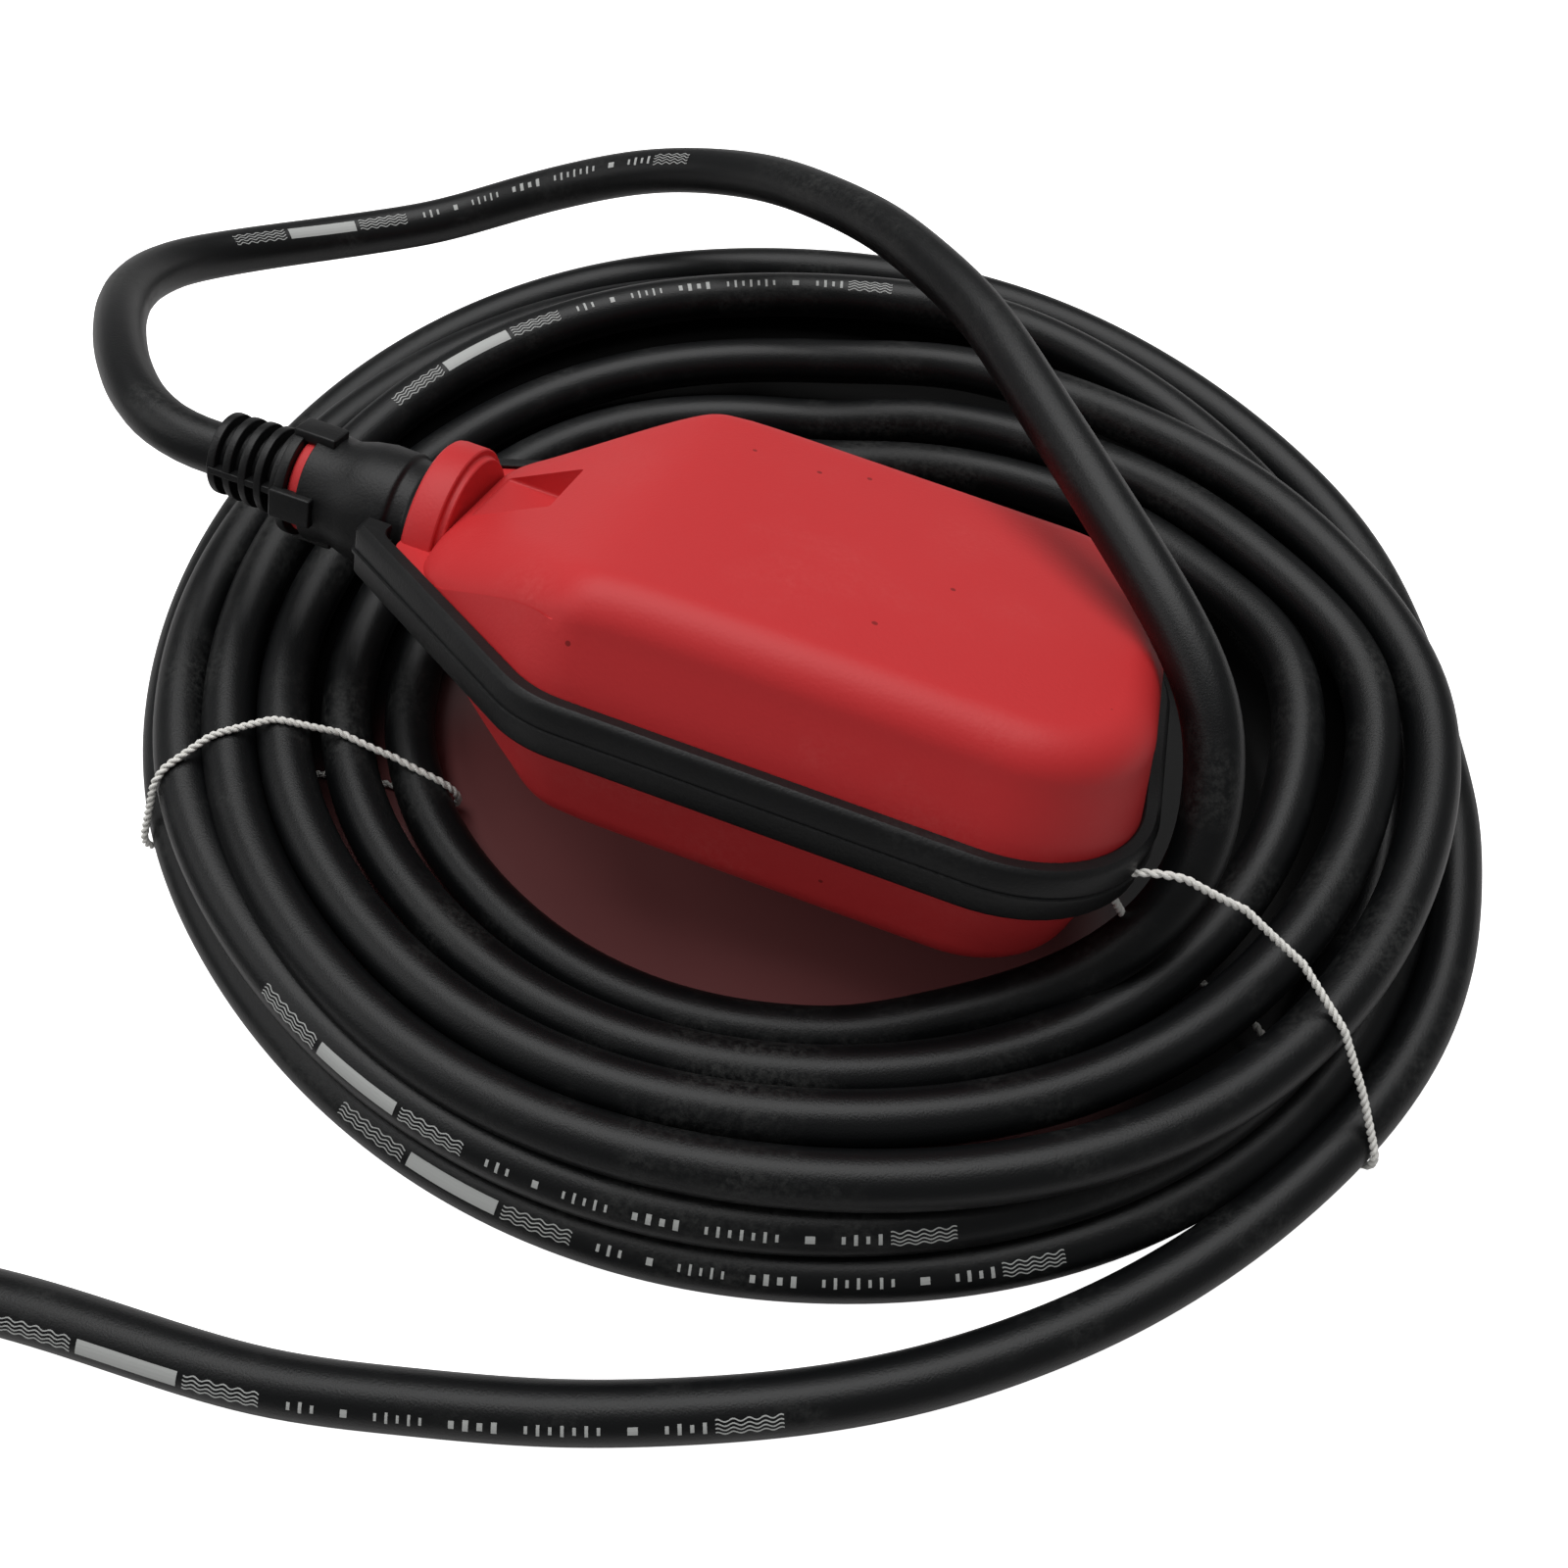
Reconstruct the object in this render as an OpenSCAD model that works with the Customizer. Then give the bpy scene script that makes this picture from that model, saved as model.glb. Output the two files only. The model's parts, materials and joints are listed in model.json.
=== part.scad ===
// Float switch: a tilting float on a rubber lead. Two moulded shells in an overmoulded rim hold a sealed
// capsule, in which a steel ball rolls against the lever of a microswitch. The lead loops over the float,
// lies in a coil under it and runs off to its bare end.
// Millimetres, +Z up. The origin lies on the table, under the middle of the float as it leans on its coil.

/* [Float] */
// Width across the rim
float_w = 80.6; // [70:1:100]
// From the start of the straight sides to the far end
float_l = 88; // [78:1:110]
// Thickness over both shells
float_t = 41.5; // [38:0.5:50]
// Angle between the tapered sides and the axis
taper_deg = 35; // [30:1:40]
// Radius of the shoulder between straight and tapered side
shoulder_r = 17.5; // [15:0.5:22]
// Radius of the far corners, in plan
end_r = 25; // [20:1:32]
// Wall of the shells
wall = 2.2; // [1.8:0.1:2.6]
// Rounding between side and face
edge_r = 6.8; // [5:0.1:8]
// Height of the ramp's foot over the mid-plane, at the neck
ramp_h = 7.6; // [7:0.2:9]
// Slope of the ramp that rises from the neck
ramp_deg = 27; // [24:1:30]

/* [Rim and neck] */
// Height of the rim
rim_h = 9; // [7:0.5:11]
// How far the rim stands out from the shells
rim_lip = 2.8; // [2.2:0.1:3.4]
// Height of the flash line round the rim
flash_h = 0.5; // [0.3:0.1:0.8]
// Radius of the sleeve round the neck
sleeve_r = 9.9; // [9:0.1:10.8]
// Radius of the shells' collar
collar_r = 14; // [12:0.1:14.5]
// Radius of the shells' neck tube
neck_r = 8; // [7:0.1:8.6]
// Number of ribs on the strain relief
rib_count = 5; // [3:1:5]
// Distance from rib to rib
rib_pitch = 2.7; // [2.4:0.1:2.8]
// Width of a rib
rib_w = 1.3; // [1:0.1:1.6]
// Width of a window between the lugs, along the neck
window_l = 4.2; // [3:0.2:6]

/* [Lead] */
// Outside diameter of the lead
lead_d = 8.5; // [8:0.1:9.5]
// Diameter of one insulated core
core_d = 2.4; // [2:0.1:2.8]
// Radius of the coil's outside
coil_r = 111.5; // [108:0.5:118]
// Radius of the coil's inside
coil_in_r = 67.5; // [64:0.5:72]
// Thickness of the twine
twine_d = 1; // [0.8:0.1:1.4]

/* [Capsule] */
// Diameter of the steel ball
ball_d = 16; // [14:0.5:17]
// How far the ball rolls
ball_travel = 14; // [10:1:18]
// How far the lever swings
lever_deg = 8; // [6:0.5:10]
// How far the button is pressed
button_travel = 1.05; // [0.8:0.05:1.2]
// Wall of the capsule
capsule_wall = 2; // [1.6:0.1:2.4]
// Radius of a screw's head
screw_head_r = 2.1; // [1.8:0.1:2.4]

/* [Hidden] */
$fn = 48;

// Where the float leans: its local axes run from neck to far end, across, and up through the upper shell
float_at = [-11.48, 9.56, 36.54];
float_turn = [-22.67, 5.55, -16.28];

// Plan of the float
half_w = float_w / 2;
shoulder_x = 4.7;
neck_front = -24;
rim_front = -38.2;
draft = 2.95;
fillet_foot = float_t / 2 - edge_r + edge_r * sin(15);
top_inset = rim_lip + draft + edge_r * cos(15);
flange_h = 2;
flange_inset = 1.6;
nose_r = 8;
rim_nose_r = 1.5;
rim_chamfer = 0.9;
rim_in = 0.4;
rim_face_in = 1.2;
flash_out = 0.05;
nose_n = 5;
shoulder_n = 4;
end_n = 8;
fillet_n = 5;

// Neck, as places along the float's axis
tip_x = -66.5;
neck_x = -52.5;
collar_x = -31;
collar_w = 5;
groove_r = 9.5;
relief_r = 5;
rib_r = 6.6;
rib_growth = 0.15;
seam_w = 1.1;
lug_w = 4.8;
lug_r = 9.7;
head_r = 8.9;
ring_w = 1.6;
lead_r = lead_d / 2;
bore_r = lead_r + 0.05;

// Pocket in the upper shell's ramp: its floor is level, so that it deepens as the ramp rises
recess_x = [-23.3, -11];
recess_w = 14.2;
recess_h = 8;

// Capsule, as places along the float's axis
gap = 0.3;
ball_r = ball_d / 2;
ball_x = 54.4;
channel_r = ball_r + gap;
channel_end = ball_x + channel_r;
capsule_x = [-7, channel_end + 2.3];
capsule_w = 34;
capsule_r = 3;
capsule_low = -channel_r - 2.3;
deck_z = -5.05;
lid_z = ball_r + 2 * gap;
pocket_w = 28.8;
pocket_end = 36.2;
screw_at = [[-2.4, 11.8], [60, 12.5]];
screw_r = 1.1;
screw_l = 8;
screw_head_h = 1.4;
cross_slot = [2.6, 0.5, 0.7];
boss_r = 2.9;
post_x = [9, 57];
post_w = 12;
post_r = 3.2;
// How far one solid runs into another of its node, and how far a cut runs past a face
bite = 0.5;
past = 1;
// Clearances of a sliding fit, and of a turning fit on its pin and in its case
slide_fit = 0.05;
pin_fit = 0.05;
pin_press = 0.03;

// Microswitch
case_x = [15, 31];
case_w = 27.8;
case_z = [deck_z + 0.05, 4];
cover_h = 1.2;
peg_x = case_x[0] + 2.9;
peg_w = 11.1;
peg_r = 1.5;
peg_top = case_z[1] + cover_h + 0.8;
hinge_at = [case_x[1] + 1.9, 12.6];
pin_r = 0.75;
pin_h = 9.4;
ear_w = [-1.6, 1.3];
ear_l = 3.6;
barrel_r = 1.5;
leaf_x = [-1.4, -0.8];
leaf_end = -22.6;
leaf_h = 5.8;
button_w = 5;
button_r = 1.2;
button_x = [28.2, hinge_at[0] - 0.33 - gap];
blade_w = 4.8;
blade_t = 0.5;
blade_x = [7.5, case_x[0] + 1.1];
blade_gap = 9;
socket_h = 2.6;
socket_lip = 0.8;
// How far a core lies from the middle of the jacket
core_out = 2.6;
socket_x = [4, 12];
tail_end = -4.6;
grip_x = [-21, -16.5];
grip_r = 5.3;

// Coil on the table: its middle, and the outline of its section from inside to outside
coil_at = [18.5, 21.2];
coil_h = [11, 18, 22, 22.6, 16, 8];
coil_step = [10.5, 20.5, 31.5, 37.5];
tie_left_az = -157.5;
tie_right_az = -43;

// Route of the loop, from the strain relief over the back and down the right to the coil
loop_points = [
  [-86.8, 33.2, 44], [-92.6, 39.5, 43.4], [-98.2, 49, 41.4], [-103.2, 60.5, 38], [-107, 72.5, 33.4],
  [-108.6, 84.5, 28], [-107, 95.5, 22.5], [-102, 105, 17.4], [-94.5, 113, 13.4], [-85.5, 119.5, 10.6],
  [-75.5, 124.8, 9], [-64.8, 129, 8.8], [-54, 132, 10.6], [-43.2, 133, 14], [-32, 132.5, 18], [-21, 130, 22.5],
  [-10.5, 125.5, 27], [0, 118.5, 32], [9.5, 109, 37.5], [19, 97, 43], [28, 84, 48], [36, 70.5, 51.5],
  [43.5, 57, 53.5], [51, 40, 54], [57.5, 25, 53.8], [64.3, 10, 53], [70.5, -3, 51], [75, -14, 47],
  [76.3, -24, 40.5], [74.8, -32, 33], [70.5, -37.5, 26], [64, -41.5, 20], [56, -44.5, 15.5]
];
// Route of the lead from the coil's right side along the table
lead_points = [
  [129, 8], [129, -4], [127, -17], [123, -31], [116.5, -44], [106.5, -57], [95, -68], [82, -78], [68, -86.5],
  [54, -93], [38, -98.5], [22, -102], [6, -104], [-12, -105], [-31, -104.5], [-50, -103], [-67, -99.5], [-84, -95.5],
  [-101, -93], [-118, -93.5], [-135, -96], [-150, -97],
  [-163, -97.5]
];
end_coil_at = [-176, -44];
end_coil_r = [37.5, 55];
end_coil_h = 16.8;
tie_end_az = 180;
// How far out the lead passes where the right tie holds it to the coil
tied_lead_r = 117;
// Where the jacket ends inside the end coil, and how far the cores stand out of it
jacket_end = [-167.5, -17.5];
jacket_from = [-181, -6.5];
bare_l = 22;
bare_fan = 7;

red = [0.78, 0.09, 0.09];
black = [0.09, 0.09, 0.1];
steel = [0.78, 0.78, 0.8];

// Shared forms

function arc(c, r, a0, a1, n) = [for (i = [0:n]) let (a = a0 + (a1 - a0) * i / n) c + r * [cos(a), sin(a)]];

// Distance of the shoulder's tangent line from the plan's origin, across the line
line_c = sin(taper_deg) * -shoulder_x + cos(taper_deg) * (half_w - shoulder_r) + shoulder_r;

// One side of the plan, from the nose at x0 round the shoulder to the far end, drawn in by d
function side(d, x0, rn) =
  let (nose = [x0 + rn, (line_c - d - rn + sin(taper_deg) * (x0 + rn)) / cos(taper_deg)])
  concat(
    arc(nose, rn, 180, 90 + taper_deg, nose_n),
    arc([shoulder_x, half_w - shoulder_r], shoulder_r - d, 90 + taper_deg, 90, shoulder_n),
    arc([float_l - end_r, half_w - end_r], end_r - d, 90, 0, end_n)
  );

function plan(d, x0, rn) =
  let (s = side(d, x0, rn), n = len(s))
  concat([for (p = s) [p[0], -p[1]]], [for (i = [1:n]) s[n - i]]);

// Skin over a stack of rings with equal numbers of points, from the first ring up
module skin(rings) {
  n = len(rings[0]);
  m = len(rings);
  pts = [for (r = rings) each r];
  faces = concat(
    [[for (i = [0:n - 1]) i]],
    [for (k = [0:m - 2]) for (i = [0:n - 1]) let (a = k * n + i, b = k * n + (i + 1) % n)
      each [[a, a + n, b + n], [a, b + n, b]]],
    [[for (i = [0:n - 1]) m * n - 1 - i]]
  );
  polyhedron(pts, faces, convexity = 6);
}

// A float-shaped solid from sections of [height, inset, place of the front]
module float_form(sections, rn = nose_r) {
  skin([for (s = sections) [for (p = plan(s[1], s[2], rn)) [p[0], p[1], s[0]]]]);
}

// Turned form on the float's axis, from a profile of [radius, place]
module turned() {
  rotate([0, 90, 0])
    rotate_extrude()
      children();
}

module half_turned() {
  rotate([0, 90, 0])
    rotate([0, 0, 90])
      rotate_extrude(angle = 180)
        children();
}

module leaning() {
  translate(float_at)
    rotate(float_turn)
      children();
}

// Flat plate with round corners, from x[0] to x[1] and z[0] to z[1]
module slab(x, w, z, r) {
  translate([0, 0, z[0]])
    linear_extrude(z[1] - z[0]) {
      translate([x[0] + r, -w / 2])
        square([x[1] - x[0] - 2 * r, w]);
      translate([x[0], -w / 2 + r])
        square([x[1] - x[0], w - 2 * r]);
      for (px = [x[0] + r, x[1] - r], py = [-w / 2 + r, w / 2 - r])
        translate([px, py])
          circle(r);
    }
}

module box(x, w, z) {
  translate([x[0], -w / 2, z[0]])
    cube([x[1] - x[0], w, z[1] - z[0]]);
}

// Shells

face_h = float_t / 2;
function ramp_x(z) = neck_front + max(0, z - ramp_h) / tan(ramp_deg);
function edge_arc(r) = [for (i = [0:fillet_n]) let (a = 15 + 75 * i / fillet_n)
  [face_h - edge_r + r * sin(a), top_inset - r * cos(a)]];

shell_sections = concat(
  [[0, flange_inset, neck_front], [flange_h, flange_inset, neck_front], [flange_h, rim_lip, neck_front],
   [ramp_h, rim_lip + draft * (ramp_h - flange_h) / (fillet_foot - flange_h), neck_front]],
  [for (p = edge_arc(edge_r)) [p[0], p[1], ramp_x(p[0])]]
);

function cavity_front(z) =
  max(neck_front + wall, ramp_x(z) + wall / sin(ramp_deg) * (z > ramp_h - wall ? 1 : 0));
cavity_sections = concat(
  [[-1, rim_lip + wall, neck_front + wall], [ramp_h - wall, rim_lip + wall + 1.2, neck_front + wall]],
  [for (p = edge_arc(edge_r - wall)) [p[0], p[1], cavity_front(p[0])]]
);

// Collar, groove and neck tube of one shell, outside only
module neck_profile(bore) {
  polygon([
    [bore, neck_x], [neck_r, neck_x], [neck_r, collar_x], [collar_r - 0.6, collar_x], [collar_r, collar_x + 0.6],
    [collar_r, collar_x + collar_w], [groove_r, collar_x + collar_w], [groove_r, neck_front + wall / 2],
    [bore, neck_front + wall / 2]
  ]);
}

module shell() {
  difference() {
    union() {
      difference() {
        float_form(shell_sections);
        float_form(cavity_sections, nose_r - wall);
      }
      half_turned()
        neck_profile(bore_r);
    }
    turned()
      translate([0, neck_x - 1])
        square([bore_r, neck_front + wall + 1.5 - neck_x]);
  }
}

module recess(grow) {
  box([recess_x[0] - grow, recess_x[1] + grow], recess_w + 2 * grow, [recess_h - grow, face_h + grow]);
}

module upper_shell() {
  color(red)
    leaning()
      difference() {
        union() {
          shell();
          intersection() {
            float_form(shell_sections);
            recess(wall);
          }
        }
        recess(0);
      }
}

module lower_shell() {
  color(red)
    leaning() {
      rotate([180, 0, 0])
        shell();
      for (x = post_x, y = [-post_w, post_w])
        translate([x, y, -face_h + wall - 0.4])
          cylinder(r = post_r, h = capsule_low + face_h - wall + 0.4);
    }
}

// Overmould: rim, sleeve and strain relief in one piece

rim_sections = [
  [-rim_h / 2, rim_face_in, rim_front], [-rim_h / 2 + rim_chamfer, rim_in, rim_front],
  [-flash_h / 2, rim_in - flash_out, rim_front], [-flash_h / 2, 0, rim_front],
  [flash_h / 2, 0, rim_front], [flash_h / 2, rim_in - flash_out, rim_front],
  [rim_h / 2 - rim_chamfer, rim_in, rim_front], [rim_h / 2, rim_face_in, rim_front]
];

module sleeve_profile() {
  polygon([
    [lead_r, tip_x], [relief_r, tip_x], [relief_r, neck_x - ring_w], [head_r, neck_x - ring_w], [head_r, neck_x],
    [neck_r - 0.01, neck_x], [neck_r - 0.01, neck_x + window_l], [head_r, neck_x + window_l], [head_r - 0.4, neck_x + 6.3],
    [sleeve_r - 0.5, neck_x + 9.2], [sleeve_r, neck_x + 12], [sleeve_r, collar_x - 5], [sleeve_r - 0.7, collar_x - 4.4],
    [sleeve_r - 0.7, collar_x - 2], [sleeve_r - 0.2, collar_x - 1.4], [sleeve_r - 0.2, collar_x], [lead_r, collar_x]
  ]);
}

module relief_ribs() {
  for (k = [0:rib_count - 1])
    turned()
      translate([relief_r - 0.1, tip_x + k * rib_pitch])
        square([rib_r - relief_r + 0.1 + rib_growth * k, rib_w]);
  box([tip_x, neck_x], 2 * rib_r + 0.4, [-seam_w / 2, seam_w / 2]);
}

module lugs() {
  for (k = [0:3])
    rotate([90 * k, 0, 0])
      box([neck_x - ring_w - 0.2, neck_x + window_l + 0.8], lug_w, [neck_r - 0.6, lug_r]);
}

module overmould() {
  color(black)
    leaning()
      difference() {
        union() {
          float_form(rim_sections, rim_nose_r);
          turned()
            sleeve_profile();
          relief_ribs();
          lugs();
        }
        float_form(shell_sections);
        rotate([180, 0, 0])
          float_form(shell_sections);
        turned()
          neck_profile(0);
        turned()
          translate([0, tip_x - 1])
            square([lead_r, neck_x - tip_x + 2]);
      }
}

// Capsule

module ball_channel() {
  translate([pocket_end - 4.4, 0, 0])
    rotate([0, 90, 0])
      cylinder(r = channel_r, h = channel_end - pocket_end + 4.4);
  box([pocket_end - 4.4, channel_end], 2 * channel_r, [0, lid_z + 1]);
}

module capsule_base() {
  color("ivory")
    leaning()
      difference() {
        union() {
          difference() {
            slab(capsule_x, capsule_w, [capsule_low, lid_z], capsule_r);
            box([capsule_x[0] + capsule_wall, pocket_end], pocket_w, [deck_z, lid_z + past]);
            ball_channel();
            translate([capsule_x[0] - past, 0, 0])
              rotate([0, 90, 0])
                cylinder(r = lead_r + 0.1, h = capsule_wall + 2 * past);
          }
          for (y = [-screw_at[0][1], screw_at[0][1]])
            translate([screw_at[0][0], y, deck_z - bite])
              cylinder(r = boss_r, h = lid_z - deck_z + bite);
          for (y = [-peg_w, peg_w])
            translate([peg_x, y, deck_z - bite])
              cylinder(r = peg_r, h = peg_top - deck_z + bite);
        }
        for (s = screw_at, y = [-1, 1])
          translate([s[0], y * s[1], lid_z + capsule_wall - screw_l - past])
            cylinder(r = screw_r + slide_fit, h = screw_l);
      }
}

module capsule_cover() {
  color("ivory")
    leaning()
      difference() {
        slab(capsule_x, capsule_w, [lid_z, lid_z + capsule_wall], capsule_r);
        for (s = screw_at, y = [-1, 1])
          translate([s[0], y * s[1], lid_z - past])
            cylinder(r = screw_r + 0.15, h = capsule_wall + 2 * past);
      }
}

module capsule_screws() {
  color(steel)
    leaning()
      for (s = screw_at, y = [-1, 1])
        translate([s[0], y * s[1], lid_z + capsule_wall]) {
          translate([0, 0, -screw_l])
            cylinder(r = screw_r, h = screw_l);
          difference() {
            cylinder(r = screw_head_r, h = screw_head_h);
            for (a = [0, 90])
              rotate([0, 0, a])
                translate([-cross_slot[0] / 2, -cross_slot[1] / 2, screw_head_h - cross_slot[2]])
                  cube([cross_slot[0], cross_slot[1], past]);
          }
        }
}

module steel_ball() {
  color(steel)
    leaning()
      translate([ball_x, 0, 0])
        sphere(ball_r);
}

// Microswitch: case, cover, button, lever and its pin

module switch_lever() {
  color(steel)
    leaning()
      translate([hinge_at[0], hinge_at[1], 0])
        rotate([0, 0, lever_deg])
          difference() {
            union() {
              translate([0, 0, -leaf_h / 2])
                cylinder(r = barrel_r, h = leaf_h);
              translate([leaf_x[0], leaf_end, -leaf_h / 2])
                cube([leaf_x[1] - leaf_x[0], -leaf_end, leaf_h]);
            }
            translate([0, 0, -leaf_h])
              cylinder(r = pin_r + pin_fit, h = 2 * leaf_h);
          }
}

module lever_pin() {
  color(steel)
    leaning()
      translate([hinge_at[0], hinge_at[1], -pin_h / 2])
        cylinder(r = pin_r, h = pin_h);
}

module microswitch_case() {
  color(black)
    leaning()
      difference() {
        union() {
          box(case_x, case_w, case_z);
          for (z = [[case_z[0], -leaf_h / 2 - gap], [leaf_h / 2 + gap, case_z[1]]])
            translate([case_x[1] - bite, hinge_at[1] + ear_w[0], z[0]])
              cube([ear_l + bite, ear_w[1] - ear_w[0], z[1] - z[0]]);
        }
        for (y = [-peg_w, peg_w])
          translate([peg_x, y, case_z[0] - past])
            cylinder(r = peg_r + slide_fit, h = case_z[1] - case_z[0] + 2 * past);
        translate([hinge_at[0], hinge_at[1], case_z[0] - past])
          cylinder(r = pin_r + pin_press, h = case_z[1] - case_z[0] + 2 * past);
        translate([button_x[0] - button_travel - gap, button_w, 0])
          rotate([0, 90, 0])
            cylinder(r = button_r + slide_fit, h = button_x[1] - button_x[0] + button_travel + gap);
        for (y = [-blade_gap, 0, blade_gap])
          translate([case_x[0] - past, y - blade_w / 2, -blade_t / 2])
            cube([blade_x[1] - case_x[0] + past, blade_w, blade_t]);
      }
}

module microswitch_cover() {
  color([0.6, 0.1, 0.1])
    leaning()
      difference() {
        box(case_x, case_w, [case_z[1], case_z[1] + cover_h]);
        for (y = [-peg_w, peg_w])
          translate([peg_x, y, case_z[1] - past])
            cylinder(r = peg_r + slide_fit, h = cover_h + 2 * past);
      }
}

module switch_button() {
  color("white")
    leaning()
      translate([button_x[0], button_w, 0])
        rotate([0, 90, 0])
          cylinder(r = button_r, h = button_x[1] - button_x[0]);
}

// Terminals, receptacles and cores

module blade(y) {
  color("gold")
    leaning()
      translate([blade_x[0], y - blade_w / 2, -blade_t / 2])
        cube([blade_x[1] - blade_x[0], blade_w, blade_t]);
}

module terminal_common() {
  blade(-blade_gap);
}

module terminal_open() {
  blade(0);
}

module terminal_closed() {
  blade(blade_gap);
}

module wire_receptacles() {
  color("gold")
    leaning()
      for (y = [-blade_gap, 0, blade_gap])
        difference() {
          translate([0, y, 0])
            box(socket_x, blade_w + 2 * socket_lip, [-socket_h / 2, socket_h / 2]);
          translate([blade_x[0], y - blade_w / 2 - slide_fit, -blade_t / 2 - slide_fit])
            cube([socket_x[1] - blade_x[0] + past, blade_w + 2 * slide_fit, blade_t + 2 * slide_fit]);
        }
}

function ease(t) = t * t * (3 - 2 * t);
function circle_ring(c, r, n) = [for (i = [0:n - 1]) c + r * [0, cos(360 * i / n), sin(360 * i / n)]];

// Core from the jacket's end to a receptacle, with its own angle in the jacket
module core(turn, y) {
  start = core_out * [0, cos(turn), sin(turn)];
  leaning()
    skin([for (i = [0:8]) let (t = i / 8)
      circle_ring([tail_end + (socket_x[0] - tail_end) * t, 0, 0] + start * (1 - ease(t)) + [0, y, 0] * ease(t),
        core_d / 2, 10)]);
}

module core_brown() {
  color("saddlebrown")
    core(210, -blade_gap);
}

module core_blue() {
  color("royalblue")
    core(90, 0);
}

module core_earth() {
  color("yellowgreen")
    core(330, blade_gap);
}

module cable_grip() {
  color(black)
    leaning()
      turned()
        translate([lead_r, grip_x[0]])
          square([grip_r - lead_r, grip_x[1] - grip_x[0]]);
}

module cable_tail() {
  color(black)
    leaning()
      turned()
        translate([0, tip_x])
          square([lead_r, tail_end - tip_x]);
}

// Lead

function unit(v) = v / norm(v);
function heading(p, i) = unit(p[min(i + 1, len(p) - 1)] - p[max(i - 1, 0)]);
function tube_ring(c, t, r, n) =
  let (s = unit(cross(t, [0, 0, 1])), u = cross(t, s))
  [for (i = [0:n - 1]) let (a = 360 * i / n) c + r * (cos(a) * s + sin(a) * u)];

module tube(p, r, n, first = undef) {
  skin([for (i = [0:len(p) - 1]) tube_ring(p[i], i == 0 && first ? first : heading(p, i), r, n)]);
}

// A place given along the float's axis, in the part's frame
function turn_x(v, a) = [v[0], v[1] * cos(a) - v[2] * sin(a), v[1] * sin(a) + v[2] * cos(a)];
function turn_y(v, a) = [v[0] * cos(a) + v[2] * sin(a), v[1], v[2] * cos(a) - v[0] * sin(a)];
function turn_z(v, a) = [v[0] * cos(a) - v[1] * sin(a), v[0] * sin(a) + v[1] * cos(a), v[2]];
function turned_all(v) = turn_z(turn_y(turn_x(v, float_turn[0]), float_turn[1]), float_turn[2]);
exit_at = float_at + turned_all([tip_x, 0, 0]);
exit_dir = turned_all([-1, 0, 0]);

module cord_loop() {
  color(black)
    tube(concat([exit_at, exit_at + 6 * exit_dir], loop_points), lead_r, 10, exit_dir);
}

module cord_lead() {
  color(black)
    tube([for (p = lead_points) [p[0], p[1], lead_r]], lead_r, 10);
}

function coil_outline() = concat(
  [[coil_in_r, 0], [coil_in_r, coil_h[0]]],
  [for (i = [0:3]) [coil_in_r + coil_step[i], coil_h[i + 1]]],
  [[coil_r, coil_h[5]], [coil_r, 0]]
);

module notch(at, az, r0, r1) {
  translate(at)
    rotate([0, 0, az])
      translate([r0 - 2, -twine_d / 2 - gap, -1])
        cube([r1 - r0 + 4, twine_d + 2 * gap, 1 + twine_d + gap]);
}

module cord_coil() {
  color(black)
    difference() {
      translate(coil_at)
        rotate_extrude()
          polygon(coil_outline());
      for (az = [tie_left_az, tie_right_az])
        notch(coil_at, az, coil_in_r, coil_r);
    }
}

module cord_end_coil() {
  color(black)
    difference() {
      translate(end_coil_at)
        rotate_extrude()
          translate([end_coil_r[0], 0])
            square([end_coil_r[1] - end_coil_r[0], end_coil_h]);
      notch(end_coil_at, tie_end_az, end_coil_r[0], end_coil_r[1]);
    }
}

end_way = unit(jacket_end - jacket_from);

module cord_end() {
  color(black)
    translate([jacket_from[0], jacket_from[1], lead_r])
      rotate([0, 90, atan2(end_way[1], end_way[0])])
        cylinder(r = lead_r, h = norm(jacket_end - jacket_from));
}

// Bare core at the lead's end, fanned out from the jacket
module end_core(k) {
  translate([jacket_end[0], jacket_end[1], 0])
    rotate([0, 0, atan2(end_way[1], end_way[0])])
      skin([for (i = [0:8]) let (t = i / 8, x = bare_l * t)
        circle_ring([x, (core_out + x * sin(bare_fan)) * (k - 1),
          (lead_r + (k == 1 ? 1.2 : -0.8)) * (1 - ease(t)) + (core_d / 2 + 0.05) * ease(t)], core_d / 2, 8)]);
}

module end_core_brown() {
  color("saddlebrown")
    end_core(0);
}

module end_core_blue() {
  color("royalblue")
    end_core(1);
}

module end_core_earth() {
  color("yellowgreen")
    end_core(2);
}

// Twine round a coil's section, with its lowest run in the notch
module tie(at, az) {
  color("white")
    translate(at)
      rotate([90, 0, az])
        translate([0, 0, -twine_d / 2])
          linear_extrude(twine_d)
            difference() {
              intersection() {
                offset(delta = twine_d + 0.1)
                  children();
                square([2 * coil_r, coil_r]);
              }
              offset(delta = 0.1)
                difference() {
                  children();
                  square([2 * coil_r, 1.1]);
                }
            }
}

module tie_left() {
  tie(coil_at, tie_left_az)
    polygon(coil_outline());
}

module tie_right() {
  tie(coil_at, tie_right_az)
    hull() {
      polygon(coil_outline());
      translate([tied_lead_r, lead_r])
        circle(lead_r + 0.1);
    }
}

module tie_end() {
  tie(end_coil_at, tie_end_az)
    translate([end_coil_r[0], 0])
      square([end_coil_r[1] - end_coil_r[0], end_coil_h]);
}

upper_shell();
lower_shell();
overmould();
capsule_base();
capsule_cover();
capsule_screws();
steel_ball();
switch_lever();
lever_pin();
microswitch_case();
microswitch_cover();
switch_button();
terminal_common();
terminal_open();
terminal_closed();
wire_receptacles();
core_brown();
core_blue();
core_earth();
cable_grip();
cable_tail();
cord_loop();
cord_coil();
cord_lead();
cord_end_coil();
cord_end();
end_core_brown();
end_core_blue();
end_core_earth();
tie_left();
tie_right();
tie_end();
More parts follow.
